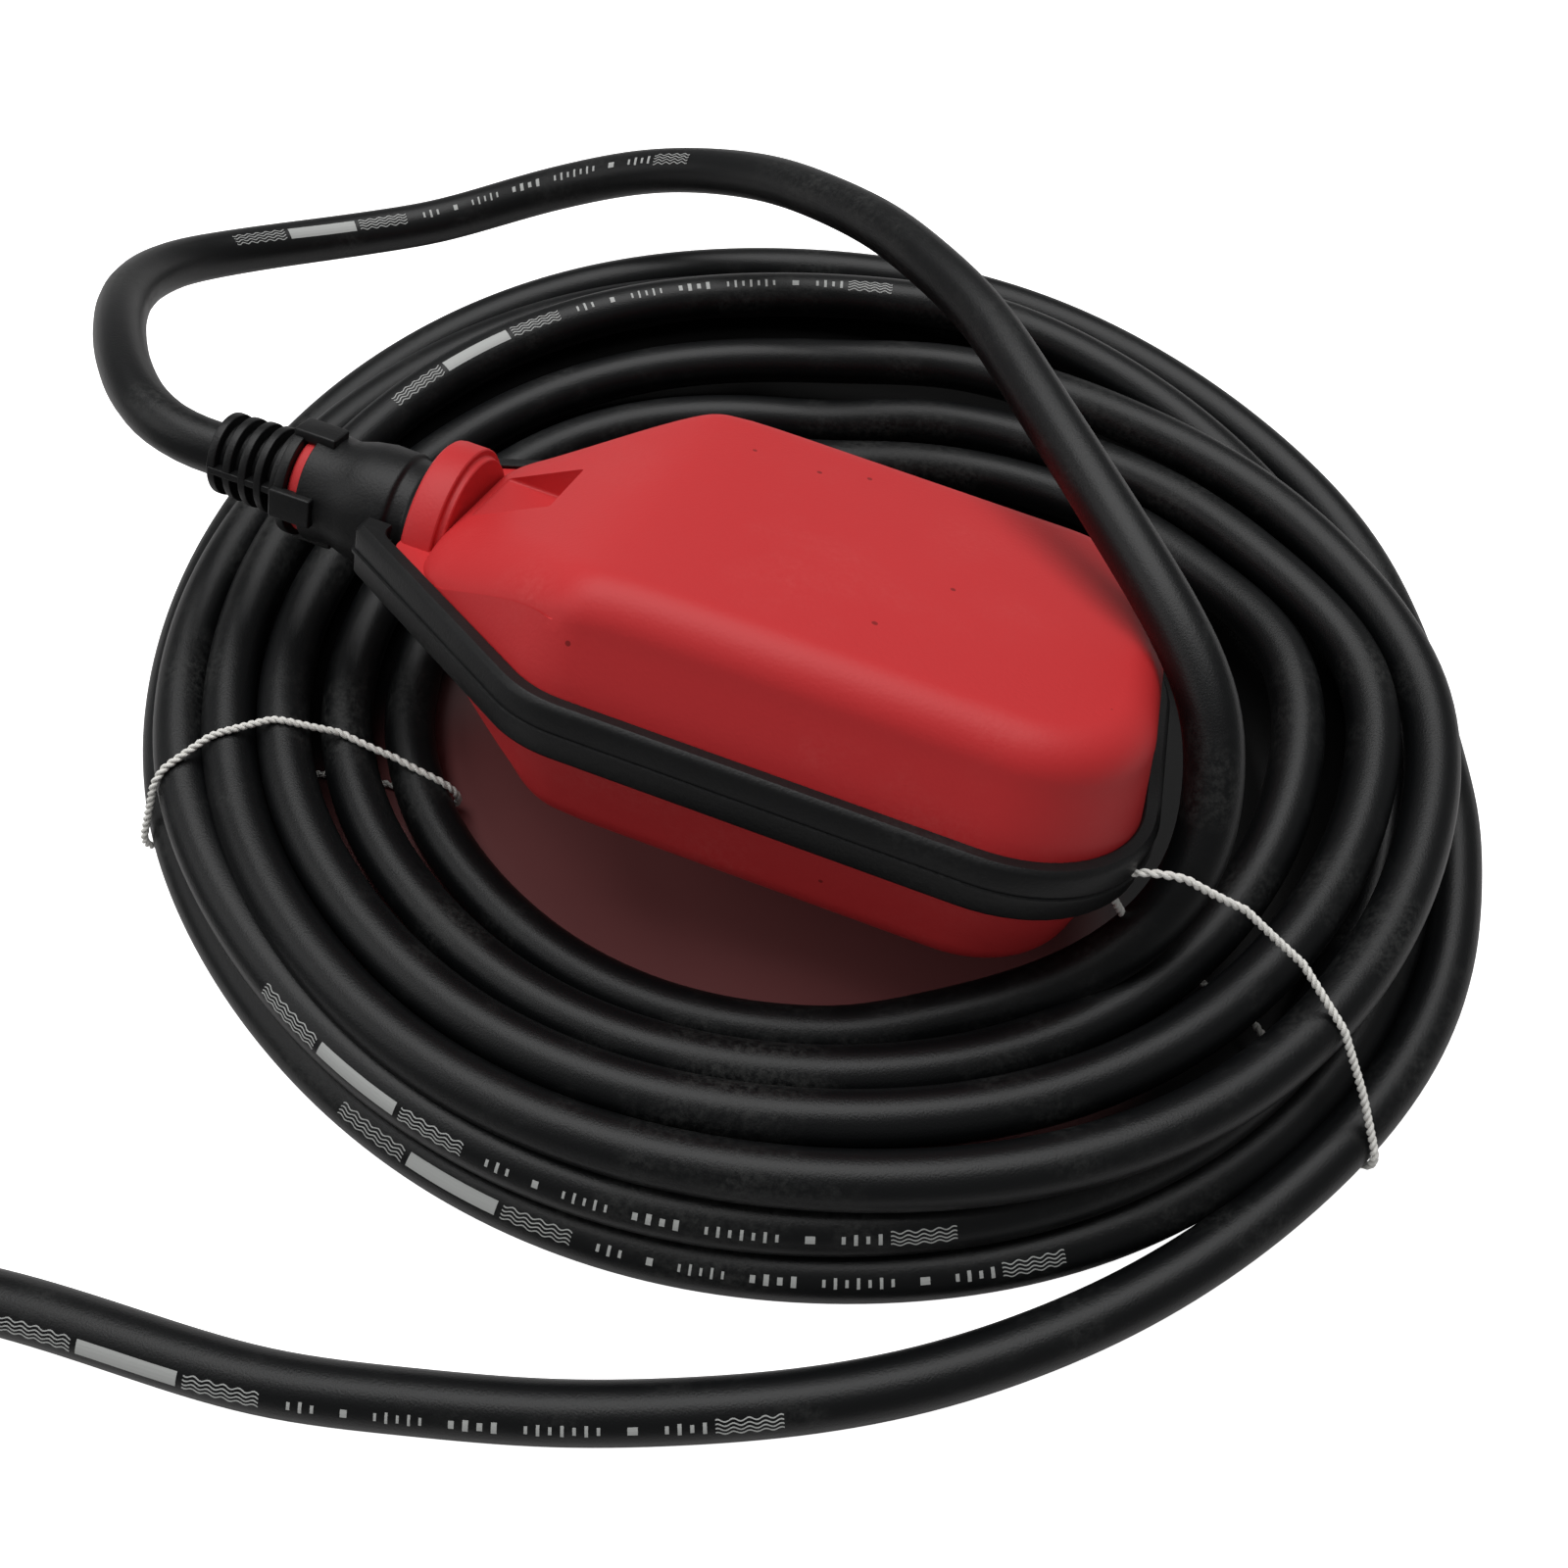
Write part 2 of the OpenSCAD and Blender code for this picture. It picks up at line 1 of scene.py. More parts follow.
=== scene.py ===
# %% [markdown]
# # A tilting float switch on its coiled rubber lead
#
# A float switch hangs in a tank or pit by its own lead. When the water lifts the float past level, a steel
# ball inside it rolls and presses a small switch. The one built here lies on a table, on top of its lead,
# which is wound in a flat coil and tied with white twine. The solid parts come ready from the CAD model,
# and this lesson gives them their surfaces, lays the lead, and sets the camera and the light.
#
# The first cell loads the CAD model. Everything is in metres, in the CAD model's own frame.

# %% Load the frame
import json
import math

import bmesh
import bpy
import numpy as np
from mathutils import Matrix, Vector

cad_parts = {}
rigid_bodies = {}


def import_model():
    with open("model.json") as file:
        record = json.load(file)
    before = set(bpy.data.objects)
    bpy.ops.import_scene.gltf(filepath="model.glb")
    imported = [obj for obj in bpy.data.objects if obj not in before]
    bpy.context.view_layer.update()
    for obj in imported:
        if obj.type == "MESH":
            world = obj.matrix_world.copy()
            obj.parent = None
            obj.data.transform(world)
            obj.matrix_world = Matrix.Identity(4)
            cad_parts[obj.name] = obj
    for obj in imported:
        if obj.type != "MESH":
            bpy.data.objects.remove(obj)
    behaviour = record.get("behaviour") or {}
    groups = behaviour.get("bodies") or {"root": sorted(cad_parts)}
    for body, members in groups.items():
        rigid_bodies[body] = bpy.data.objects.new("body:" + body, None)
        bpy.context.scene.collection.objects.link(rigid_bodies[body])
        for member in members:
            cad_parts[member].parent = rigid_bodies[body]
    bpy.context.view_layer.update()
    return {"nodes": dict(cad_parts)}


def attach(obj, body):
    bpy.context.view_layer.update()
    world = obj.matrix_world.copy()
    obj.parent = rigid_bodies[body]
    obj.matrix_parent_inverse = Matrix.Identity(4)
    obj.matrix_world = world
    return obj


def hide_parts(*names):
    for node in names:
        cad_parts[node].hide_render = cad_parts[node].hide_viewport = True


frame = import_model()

nodes = frame["nodes"]
scene = bpy.context.scene
mm = 0.001

# %% [markdown]
# ## The camera
#
# The picture was taken from in front of the coil, looking down at it by almost 60 degrees, with the camera
# turned a little clockwise. A camera in Blender looks along its own -Z axis, so it starts out looking
# straight down: tilting it up by 31 degrees about X gives the view, and a small turn about its own axis
# gives the lean of the picture. The lens has 1500 pixels of focal length for 1600 of picture width.

# %% Camera
camera_at = Vector((15.6, -133.9, 217.5)) * mm
camera_tilt = math.radians(90 - 58.76)
camera_roll = math.radians(2.94)
sensor_width = 36
focal_pixels, picture_pixels = 1500, 1600

camera_data = bpy.data.cameras.new("camera")
camera_data.sensor_width = sensor_width
camera_data.lens = sensor_width * focal_pixels / picture_pixels
camera = bpy.data.objects.new("camera", camera_data)
camera_turn = Matrix.Rotation(camera_tilt, 4, "X") @ Matrix.Rotation(camera_roll, 4, "Z")
camera.matrix_world = Matrix.Translation(camera_at) @ camera_turn
scene.collection.objects.link(camera)
scene.camera = camera
print("camera at", tuple(round(v, 4) for v in camera_at), "lens", camera_data.lens)

# %% [markdown]
# ## The route of the lead
#
# The lead is one piece of rubber cable, 8.5 mm thick and 5 m long, and all of it is laid by one line of
# points. Where it isn't coiled, the points are listed: the arch from the float's neck, round behind
# and over to the right, and the stretch along the front that leaves the picture at the left. A smooth curve
# goes through them. Its bends are then as even as those of a real cable, which can't turn a sharp corner.

# %% Points of the loose stretches
lead_r = 8.5 / 2
table_z = lead_r
neck_end = Vector((-75.014, 28.115, 42.971))
neck_way = Vector((-0.955403, 0.279018, 0.096714))
straight_out = 6

loop_points = [
    (-86.8, 33.2, 44), (-92.6, 39.5, 43.4), (-98.2, 49, 41.4), (-103.2, 60.5, 38), (-107, 72.5, 33.4),
    (-108.6, 84.5, 28), (-107, 95.5, 22.5), (-102, 105, 17.4), (-94.5, 113, 13.4), (-85.5, 119.5, 10.6),
    (-75.5, 124.8, 9), (-64.8, 129, 8.8), (-54, 132, 10.6), (-43.2, 133, 14), (-32, 132.5, 18),
    (-21, 130, 22.5), (-10.5, 125.5, 27), (0, 118.5, 32), (9.5, 109, 37.5), (19, 97, 43), (28, 84, 48),
    (36, 70.5, 51.5), (43.5, 57, 53.5), (51, 40, 54), (57.5, 25, 53.8), (64.3, 10, 53), (70.5, -3, 51),
    (75, -14, 47), (76.3, -24, 40.5), (74.8, -32, 33), (70.5, -37.5, 26), (64, -41.5, 20), (56, -44.5, 15.5),
    (46.8, -47, 12.6), (37.2, -49.2, 10.8), (27.8, -51, 10),
]
front_points = [
    (129, 8), (129, -4), (127, -17), (123, -31), (116.5, -44), (106.5, -57), (95, -68), (82, -78),
    (68, -86.5), (54, -93), (38, -98.5), (22, -102), (6, -104), (-12, -105), (-31, -104.5), (-50, -103),
    (-67, -99.5), (-84, -95.5), (-101, -93), (-118, -93.5), (-135, -96), (-150, -97), (-163, -97.5),
]

# %% [markdown]
# ## The coil
#
# Nobody winds a coil perfectly. Here each turn lies a little differently: beside its neighbour, on top of
# it or in the hollow between two others. The table gives, for the six turns, how far out and how high the
# cable runs at places round the coil, and a loop walks round it and blends from place to place. That keeps
# the stacking of the real coil with a few dozen pairs of numbers.

# %% Turns of the coils
coil_at = Vector((18.5, 21.2))
coil_stations = {
    -90: [(72.6, 9.8), (80.4, 14), (88.2, 17.5), (96.8, 18.3), (101.3, 11.1), (106, table_z)],
    -135: [(70.9, 6.4), (80, 10.3), (88.9, 14.1), (97.5, 14.9), (102.8, 11.3), (106.7, table_z)],
    -168: [(69.8, table_z), (79.7, 8), (89.3, 12), (98, 12.8), (106.3, 11.5), (110.4, table_z)],
    -225: [(58.5, table_z), (68.5, 5.5), (80, 7.2), (92, 12), (100.5, 7), (109, table_z)],
    -268: [(48.5, table_z), (58.4, 5), (71, 9), (87.3, 11.6), (95, table_z), (104, table_z)],
    -291: [(51.5, 5), (62.6, 6.5), (74, 11), (89.4, 12), (95, table_z), (104, table_z)],
    -317: [(60.5, 7), (69.3, 10.5), (78.8, 14.5), (91, 11), (95.8, table_z), (104.8, table_z)],
    -345: [(72, 12.5), (81.5, 15.8), (92.5, 17), (96, 9), (99.5, table_z), (109, table_z)],
    -366: [(82, 17.5), (93.8, 18.5), (103.4, 18.2), (99, 10.3), (105, table_z), (112.8, table_z)],
    -405: [(84, 16), (93.5, 18.1), (104, 18), (104, 10.2), (110, table_z), (117, table_z)],
}
end_coil_at = Vector((-176, -44))
end_coil_stations = [
    (-95, 50.6, table_z), (-395, 50.6, table_z), (-470, 50.6, 12.5), (-740, 50.6, 12.5),
    (-800, 41.9, 12.5), (-1040, 41.9, 12.5), (-1100, 41.9, table_z), (-1340, 38.6, table_z),
]
jacket_tail = [(-181, -6.5), (-167.5, -17.5)]


def blended(xs, ys, x):
    """Value at x of a smooth line through the points (xs, ys)."""
    last = len(xs) - 1
    i = min(max(int(np.searchsorted(xs, x)) - 1, 0), last - 1)
    h = xs[i + 1] - xs[i]
    t = (x - xs[i]) / h
    slopes = []
    for k in (i, i + 1):
        before, after = max(k - 1, 0), min(k + 1, last)
        slopes.append((ys[after] - ys[before]) / (xs[after] - xs[before]))
    a, b = h * slopes[0] - (ys[i + 1] - ys[i]), (ys[i + 1] - ys[i]) - h * slopes[1]
    return ys[i] + (ys[i + 1] - ys[i]) * t + t * (1 - t) * (a * (1 - t) + b * t)


def turns(centre, stations, step):
    """Points of a winding from stations of (angle in degrees, radius, height), clockwise from above."""
    angles = [-s[0] for s in stations]
    points = []
    for a in np.linspace(angles[0], angles[-1], int((angles[-1] - angles[0]) / step) + 1):
        r = blended(angles, [s[1] for s in stations], a)
        z = blended(angles, [s[2] for s in stations], a)
        points.append((centre.x + r * math.cos(math.radians(a)), centre.y - r * math.sin(math.radians(a)), z))
    return points


turn_count, last_station_back = 6, 9
coil_list = [(a - 360 * k, *coil_stations[a][k]) for k in range(turn_count) for a in coil_stations][:-1]
coil_list[-1] = (coil_list[-1][0] + last_station_back, *coil_list[-1][1:])
coil_points = turns(coil_at, coil_list, 15)[:-1]
end_points = turns(end_coil_at, end_coil_stations, 22)
print(len(coil_points), "points in the coil,", len(end_points), "in the end coil")

# %% [markdown]
# ## A smooth line and a round skin
#
# A curve object with a bevel is the quickest way to make a pipe in Blender. Here the printed marks and the
# twine have to lie exactly on the cable, so the smooth line is worked out first, as a cubic spline through
# the points, and cable, marks and twine all use it. The skin is a ring of points for each place on the line.
# Each ring is turned as little as possible against the last one, so the skin doesn't twist.

# %% Helpers for lines and skins
def smooth_line(points, step):
    """A cubic spline through points, as rows of positions about step apart."""
    p = np.array(points, float)
    s = np.r_[0, np.cumsum(np.linalg.norm(np.diff(p, axis=0), axis=1))]
    h = np.diff(s)
    n = len(p)
    a = np.zeros((n, n))
    b = np.zeros((n, 3))
    a[0, 0] = a[-1, -1] = 1
    for i in range(1, n - 1):
        a[i, i - 1 : i + 2] = h[i - 1], 2 * (h[i - 1] + h[i]), h[i]
        b[i] = 6 * ((p[i + 1] - p[i]) / h[i] - (p[i] - p[i - 1]) / h[i - 1])
    m = np.linalg.solve(a, b)
    t = np.linspace(0, s[-1], int(s[-1] / step) + 1)
    i = np.clip(np.searchsorted(s, t, side="right") - 1, 0, n - 2)
    u, v, w = (s[i + 1] - t)[:, None], (t - s[i])[:, None], h[i][:, None]
    bent = (m[i] * u**3 + m[i + 1] * v**3) / (6 * w)
    return bent + (p[i] / w - m[i] * w / 6) * u + (p[i + 1] / w - m[i + 1] * w / 6) * v


def unit(v):
    return v / np.maximum(np.linalg.norm(v, axis=-1, keepdims=True), 1e-12)


def length_of(line):
    return float(np.linalg.norm(np.diff(line, axis=0), axis=1).sum())


def across(line, closed=False):
    """Two directions across the line at each of its points, turned as little as possible along it."""
    if closed:
        way = unit(np.roll(line, -1, axis=0) - np.roll(line, 1, axis=0))
    else:
        way = unit(np.gradient(line, axis=0))
    first = np.cross(way[0], (0, 0, 1) if abs(way[0][2]) < 0.9 else (1, 0, 0))
    side = [first / np.linalg.norm(first)]
    for t in way[1:]:
        v = side[-1] - t * (side[-1] @ t)
        side.append(v / np.linalg.norm(v))
    side = np.array(side)
    return side, np.cross(way, side)


def skin(rings, closed=False, caps=True):
    """Vertices and faces of a skin over rings that have equal numbers of points."""
    m, n = len(rings), len(rings[0])
    points = np.concatenate(rings)
    faces = []
    for k in range(m if closed else m - 1):
        for i in range(n):
            a, b, up = k * n + i, k * n + (i + 1) % n, (k + 1) % m * n
            faces.append((a, b, up + (i + 1) % n, up + i))
    if caps and not closed:
        faces += [tuple(range(n - 1, -1, -1)), tuple(range((m - 1) * n, m * n))]
    return points, faces


def tube(line, radius, sides, closed=False):
    u, v = across(line, closed)
    radius = np.broadcast_to(radius, len(line))
    angles = np.linspace(0, 2 * math.pi, sides, endpoint=False)
    return skin([p + r * (np.outer(np.cos(angles), a) + np.outer(np.sin(angles), b))
                 for p, r, a, b in zip(line, radius, u, v)], closed)


def joined(parts):
    """One set of vertices and faces from several, each of which stays whole."""
    points, faces, start = [], [], 0
    for p, f in parts:
        points.append(p)
        faces += [tuple(i + start for i in face) for face in f]
        start += len(p)
    return np.concatenate(points), faces


def new_piece(name, points, faces, placed=None):
    """An object from points in millimetres, placed by a matrix of the part's frame, with outward faces."""
    points = np.asarray(points, float)
    if placed is not None:
        points = points @ placed[0].T + placed[1]
    mesh = bpy.data.meshes.new(name)
    mesh.from_pydata((points * mm).tolist(), [], faces)
    form = bmesh.new()
    form.from_mesh(mesh)
    bmesh.ops.remove_doubles(form, verts=form.verts, dist=1e-7)
    bmesh.ops.recalc_face_normals(form, faces=form.faces)
    form.to_mesh(mesh)
    form.free()
    piece = bpy.data.objects.new(name, mesh)
    scene.collection.objects.link(piece)
    return piece


def smoothed(piece, degrees):
    """Smooth shading that keeps the edges that are sharper than the given angle."""
    piece.data.polygons.foreach_set("use_smooth", [True] * len(piece.data.polygons))
    piece.data.set_sharp_from_angle(angle=math.radians(degrees))
    return piece


def finished(piece, body, slot, *replaced):
    """Puts a piece on its body, in the place of CAD nodes; the slot argument is not used."""
    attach(piece, body)
    if replaced:
        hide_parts(*replaced)
    print(piece.name, len(piece.data.polygons), "faces")


# %% [markdown]
# ## The lead, laid as one skin
#
# Now the pieces of the route are put end to end, from the neck through arch, coil and front stretch to the
# small coil at the far end, and one skin goes round them all. A real lead has no seams, so this one has none
# either. It stands in for the five plain solids that the CAD model uses for the same lead.

# %% Lay the lead
route = [tuple(neck_end), tuple(neck_end + straight_out * neck_way)] + loop_points + coil_points
route += [(x, y, table_z) for x, y in front_points] + end_points[1:-1]
route += [(x, y, table_z) for x, y in jacket_tail]
lead_line = smooth_line(route, 2.5)
lead = smoothed(new_piece("lead", *tube(lead_line, lead_r, 20)), 40)
finished(lead, "root", "cable_rubber", "cord_loop", "cord_coil", "cord_lead", "cord_end_coil", "cord_end")
print("lead", round(length_of(lead_line) * mm, 3), "m,", len(lead_line), "places")

# %% [markdown]
# ## The float's outline
#
# The float's two shells are moulded halves with a house-shaped plan: a narrow front that widens at 35
# degrees to a straight body with round far corners. Every edge of the shells and of the rim between them is
# this plan, drawn in by a little more or less. The plan here is therefore a function that gives its points
# and how each point moves for every millimetre that the plan is drawn in. A height is added later.

# %% Plan of the float
half_w, float_l, taper = 40.3, 88, math.radians(35)
shoulder_r, shoulder_x, end_r = 17.5, 4.7, 25
line_c = -math.sin(taper) * shoulder_x + math.cos(taper) * (half_w - shoulder_r) + shoulder_r

turn = [math.radians(a) for a in (-22.67, 5.55, -16.28)]
float_turn = np.array(
    Matrix.Rotation(turn[2], 3, "Z") @ Matrix.Rotation(turn[1], 3, "Y") @ Matrix.Rotation(turn[0], 3, "X")
)
float_place = (float_turn, np.array((-11.48, 9.56, 36.54)))


def arc(centre, r, start, end, count):
    a = np.linspace(start, end, count)
    return np.c_[centre[0] + r * np.cos(a), centre[1] + r * np.sin(a)]


def outline(inset, front, nose):
    """The plan drawn in by inset at its sides, from a front at x = front, as a ring of (x, y)."""
    right = math.pi / 2
    nose_at = (front + nose, (line_c - inset - nose + math.sin(taper) * (front + nose)) / math.cos(taper))
    shoulder_at = np.array((shoulder_x, half_w - shoulder_r))
    part = np.linspace(0.06, 0.94, 12)[:, None]
    way = np.array((math.cos(right + taper), math.sin(right + taper)))
    side = np.concatenate([
        np.c_[np.full(5, front), np.linspace(0.1, 0.86, 5) * nose_at[1]],
        arc(nose_at, nose, math.pi, right + taper, 9),
        part * (shoulder_at - nose_at) + nose_at + (nose + (shoulder_r - inset - nose) * part) * way,
        arc(shoulder_at, shoulder_r - inset, right + taper, right, 9),
        np.c_[np.linspace(shoulder_x, float_l - end_r, 16)[1:-1], np.full(14, half_w - inset)],
        arc((float_l - end_r, half_w - end_r), end_r - inset, right, 0, 18),
        np.c_[np.full(4, float_l - inset), np.linspace(0.9, 0.1, 4) * (half_w - end_r)],
    ])
    return np.concatenate([side * (1, -1), side[::-1]])


def drawn_in(front, nose, pace=1.0):
    """The plan at no inset, and its move for each millimetre of inset; pace is how fast the front moves."""
    start = outline(0, front, nose)
    return start, outline(1, front + pace, nose) - start


print(len(outline(0, -26, 8)), "points round the plan")

# %% [markdown]
# ## The shells
#
# Each shell is a tray with rounded edges: a flange that sits in the black rim, walls that lean in by a few
# degrees so that the part leaves its mould, a face, and a ramp that falls from the face to the neck. A
# subdivided cube would give rounder forms than these, and a bevel on a Boolean of two blocks gives uneven
# edges where ramp and taper meet. So the skin is laid in rings: up the wall, round the edge, then shrunk
# toward the middle of the face. The height of face and ramp is one function, softly blended at the crease.

# %% Skin of a shell
face_h, ramp_h, ramp_x, ramp = 20.75, 7.6, -24, math.radians(27)
shell_front, front_pace = -25.9, 0.2
flange_h, flange_inset, rim_lip, draft = 2, 1.6, 2.8, 2.95
edge_r, wall, crease = 6.8, 2.2, 1.6
under_pocket_x, under_pocket_w, under_pocket_h = -6.5, 23, 5.6
foot_angle = math.radians(5)
least_edge, ramp_l, ramp_edge = 1.2, 32, 4.5
wall_slope = draft / (face_h - edge_r * (1 - math.sin(foot_angle)) - flange_h)


def top_height(x, drop=0.0):
    """Height of ramp and face at x, with a soft crease between them."""
    up = ramp_h + math.tan(ramp) * (x - ramp_x) - drop / math.cos(ramp)
    return -crease * np.logaddexp(-up / crease, -(face_h - drop) / crease)


def shell_rings(lip, drop, count):
    """Rings of a shell's skin: lip is the inset of its wall, drop its depth below the outer face."""
    start, move = drawn_in(shell_front + drop - front_pace * lip, 8, front_pace)
    x_top = (start + move * (rim_lip + draft + edge_r))[:, 0]
    high = top_height(x_top, drop)
    tall = np.clip(0.8 * (high - flange_h), least_edge, edge_r - drop)
    slack = 1 - np.clip((x_top - ramp_x) / ramp_l, 0, 1)
    broad = edge_r - drop + ramp_edge * slack * slack * (3 - 2 * slack)
    wall_top = high - tall * (1 - math.sin(foot_angle))
    rings = []
    for t in np.linspace(0, 1, count):
        z = flange_h + (wall_top - flange_h) * t
        rings.append(np.c_[start + move * (lip + wall_slope * (z - flange_h))[:, None], z])
    foot = lip + wall_slope * (wall_top - flange_h)
    for a in np.linspace(foot_angle, math.pi / 2, count + 6)[1:]:
        inset = foot + broad * (math.cos(foot_angle) - math.cos(a))
        p = start + move * inset[:, None]
        rings.append(np.c_[p, top_height(p[:, 0], drop) - tall * (1 - math.sin(a))])
    last = rings[-1][:, :2]
    middle = np.c_[np.clip(last[:, 0], -9, 68), np.zeros(len(last))]
    for t in np.linspace(1, 0, 3 * count)[1:]:
        p = middle + (last - middle) * t
        rings.append(np.c_[p, top_height(p[:, 0], drop)])
    return rings


def shell_skin(pocket):
    """A closed skin: outside with its flange, and inside, lowered under the pocket where there is one."""
    start, move = drawn_in(shell_front - front_pace * rim_lip, 8, front_pace)
    flange = [
        np.c_[start + move * inset, np.full(len(start), z)]
        for inset, z in ((flange_inset, 0), (flange_inset, flange_h - 0.3), (flange_inset + 0.3, flange_h))
    ]
    inside = shell_rings(rim_lip + wall, wall, 4)
    inside.insert(0, inside[0] * (1, 1, 0))
    if pocket:
        for ring in inside:
            under = (ring[:, 0] < under_pocket_x) & (abs(ring[:, 1]) < under_pocket_w / 2)
            ring[under, 2] = np.minimum(ring[under, 2], under_pocket_h)
    return skin(inside[::-1] + flange + shell_rings(rim_lip, 0, 7), caps=False)


print("crease at x", round(ramp_x + (face_h - ramp_h) / math.tan(ramp), 1), "mm")

# %% [markdown]
# ## Turned forms and cuts
#
# The neck is a tube with a collar, split down the middle between the shells. Turned forms are profiles of
# (place, radius) that are swept round the float's axis, by a half turn for each shell. They are joined to
# the shell with an exact Boolean, which gives the true line where the neck runs into the wall. The same tool
# cuts the bore and the pocket behind the collar. Each cut is applied at once, so that no modifier is left.

# %% Helpers for turned forms and cuts
def turned(profile, start=0.0, end=360.0, count=64):
    """A closed profile of (x, radius) swept about the float's axis, from the start to the end angle."""
    whole = end - start == 360
    angles = np.radians(np.linspace(start, end, count, endpoint=not whole))
    rings = [[(x, r * math.cos(a), r * math.sin(a)) for x, r in profile] for a in angles]
    return skin([np.array(ring) for ring in rings], closed=whole)


def eased(profile, r, bend=30):
    """A closed profile with its corners rounded off by small arcs."""
    p = np.array(profile, float)
    result = []
    for a, b, c in zip(np.roll(p, 1, axis=0), p, np.roll(p, -1, axis=0)):
        u, v = unit(a - b), unit(c - b)
        turn_by = math.degrees(math.acos(max(-1, min(1, float(-u @ v)))))
        reach = min(r, 0.45 * float(np.linalg.norm(a - b)), 0.45 * float(np.linalg.norm(c - b)))
        if turn_by < bend or reach <= 0:
            result.append(b)
            continue
        for t in (0, 0.33, 0.67, 1):
            result.append((1 - t) ** 2 * (b + u * reach) + 2 * t * (1 - t) * b + t * t * (b + v * reach))
    return [tuple(q) for q in result]


def block(x, y, z, r=0.4):
    """A block between two corners, with its edges rounded."""
    form = bmesh.new()
    bmesh.ops.create_cube(form, size=1)
    size = Vector((x[1] - x[0], y[1] - y[0], z[1] - z[0]))
    middle = Vector((x[0] + x[1], y[0] + y[1], z[0] + z[1])) / 2
    for vertex in form.verts:
        vertex.co = Vector(a * b for a, b in zip(vertex.co, size)) + middle
    if r:
        bmesh.ops.bevel(form, geom=form.edges[:], offset=r, segments=3, profile=0.5, affect="EDGES")
    form.verts.index_update()
    points = np.array([tuple(v.co) for v in form.verts])
    faces = [tuple(v.index for v in f.verts) for f in form.faces]
    form.free()
    return points, faces


def cut(piece, form, how):
    """Unites the piece with a form or takes the form out of it, and applies that at once."""
    tool = new_piece("tool", *form, float_place)
    step = piece.modifiers.new(how, "BOOLEAN")
    step.operation = how
    step.solver = "EXACT"
    step.object = tool
    bpy.context.view_layer.update()
    mesh = bpy.data.meshes.new_from_object(piece.evaluated_get(bpy.context.evaluated_depsgraph_get()))
    piece.modifiers.clear()
    piece.data = mesh
    bpy.data.meshes.remove(tool.data)


# %% [markdown]
# ## Neck, collar and pocket
#
# The lead enters through a neck, and a round collar on it stops the black sleeve. Both are split down the
# middle like the rest of the float, so each shell carries a half of them. The pocket in the ramp behind the
# collar keeps the plastic there from growing thick: a thick lump sinks in as it cools.

# %% Shells with neck, collar and pocket
neck_x, collar_x, collar_w, neck_r, collar_r, groove_r, bore_r = -52.5, -31, 5, 8, 14, 12.8, 4.3
collar_end = collar_x + collar_w
neck_profile = eased([
    (neck_x, bore_r), (neck_x, neck_r), (collar_x, neck_r), (collar_x, collar_r), (collar_end, collar_r),
    (collar_end, groove_r), (shell_front + 1, groove_r), (shell_front + 1, bore_r),
], 1.1)
bore_x = (neck_x - 2, shell_front + 4)
bore = turned([(bore_x[0], 0), (bore_x[0], bore_r), (bore_x[1], bore_r), (bore_x[1], 0)], count=48)
pocket_x, pocket_w, pocket_floor = (-22.9, -11), 14.2, 8
ledge_front, ledge_inset, ledge_h = -30.9, 3.25, 3.7


def half_shell(name, flip, pocket):
    """One shell of the float; the lower one is the upper one turned half round the float's axis."""
    way = np.array((1, flip, flip))
    points, faces = shell_skin(pocket)
    piece = new_piece(name, points * way, faces, float_place)
    ledge = outline(ledge_inset, ledge_front, 3)
    ledge = ledge[ledge[:, 0] < 0]
    points, faces = skin([np.c_[ledge, np.full(len(ledge), z)] for z in (0, ledge_h)])
    cut(piece, (points * way, faces), "UNION")
    points, faces = turned(neck_profile, 0, 180, 49)
    cut(piece, (points * way, faces), "UNION")
    cut(piece, bore, "DIFFERENCE")
    if pocket:
        pocket_y = (-pocket_w / 2, pocket_w / 2)
        cut(piece, block(pocket_x, pocket_y, (pocket_floor, face_h + 3), 0.5), "DIFFERENCE")
    return smoothed(piece, 32)


upper = half_shell("shell_upper", 1, True)
finished(upper, "root", "red_shell", "upper_shell")
lower = half_shell("shell_lower", -1, False)
finished(lower, "root", "red_shell", "lower_shell")

# %% [markdown]
# ## The black overmould
#
# Black rubber is moulded round the joint of the shells: a rim that holds them together, a sleeve round the
# neck with four windows that let the red neck show, and a ribbed sleeve that keeps the lead from kinking.
# The rim is a ring of the same plan as the shells, wider at the front. Its section is swept once round the
# plan: each point of it is a height, an inset, and a 1 if it lies on the inner side. The sleeve, its ribs and
# rings are two turned forms, tied by four lugs, and all of them are united.

# %% Rim, sleeve, ribs and lugs
rim_front, lip_front = -38.2, -34.6
outer, outer_move = drawn_in(rim_front, 1.5)
inner, inner_move = drawn_in(lip_front, 3, 0.4)
section = [
    (4.5, 1.35, 0), (4.15, 0.85, 0), (3.5, 0.45, 0), (0.28, 0.4, 0), (0.22, 0.02, 0), (-0.22, 0.02, 0),
    (-0.28, 0.4, 0), (-3.5, 0.45, 0), (-4.15, 0.85, 0), (-4.5, 1.35, 0),
    (-4.5, 2.95, 1), (-4.25, 3.25, 1), (-2.05, 2.8, 1), (-2.05, 1.6, 1), (2.05, 1.6, 1), (2.05, 2.8, 1),
    (4.25, 3.25, 1), (4.5, 2.95, 1),
]
rings = []
for z, inset, inside in section:
    ring = inner + inner_move * inset if inside else outer + outer_move * inset
    rings.append(np.c_[ring, np.full(len(ring), z)])
overmould = new_piece("rim_and_sleeve", *skin(rings, closed=True), float_place)

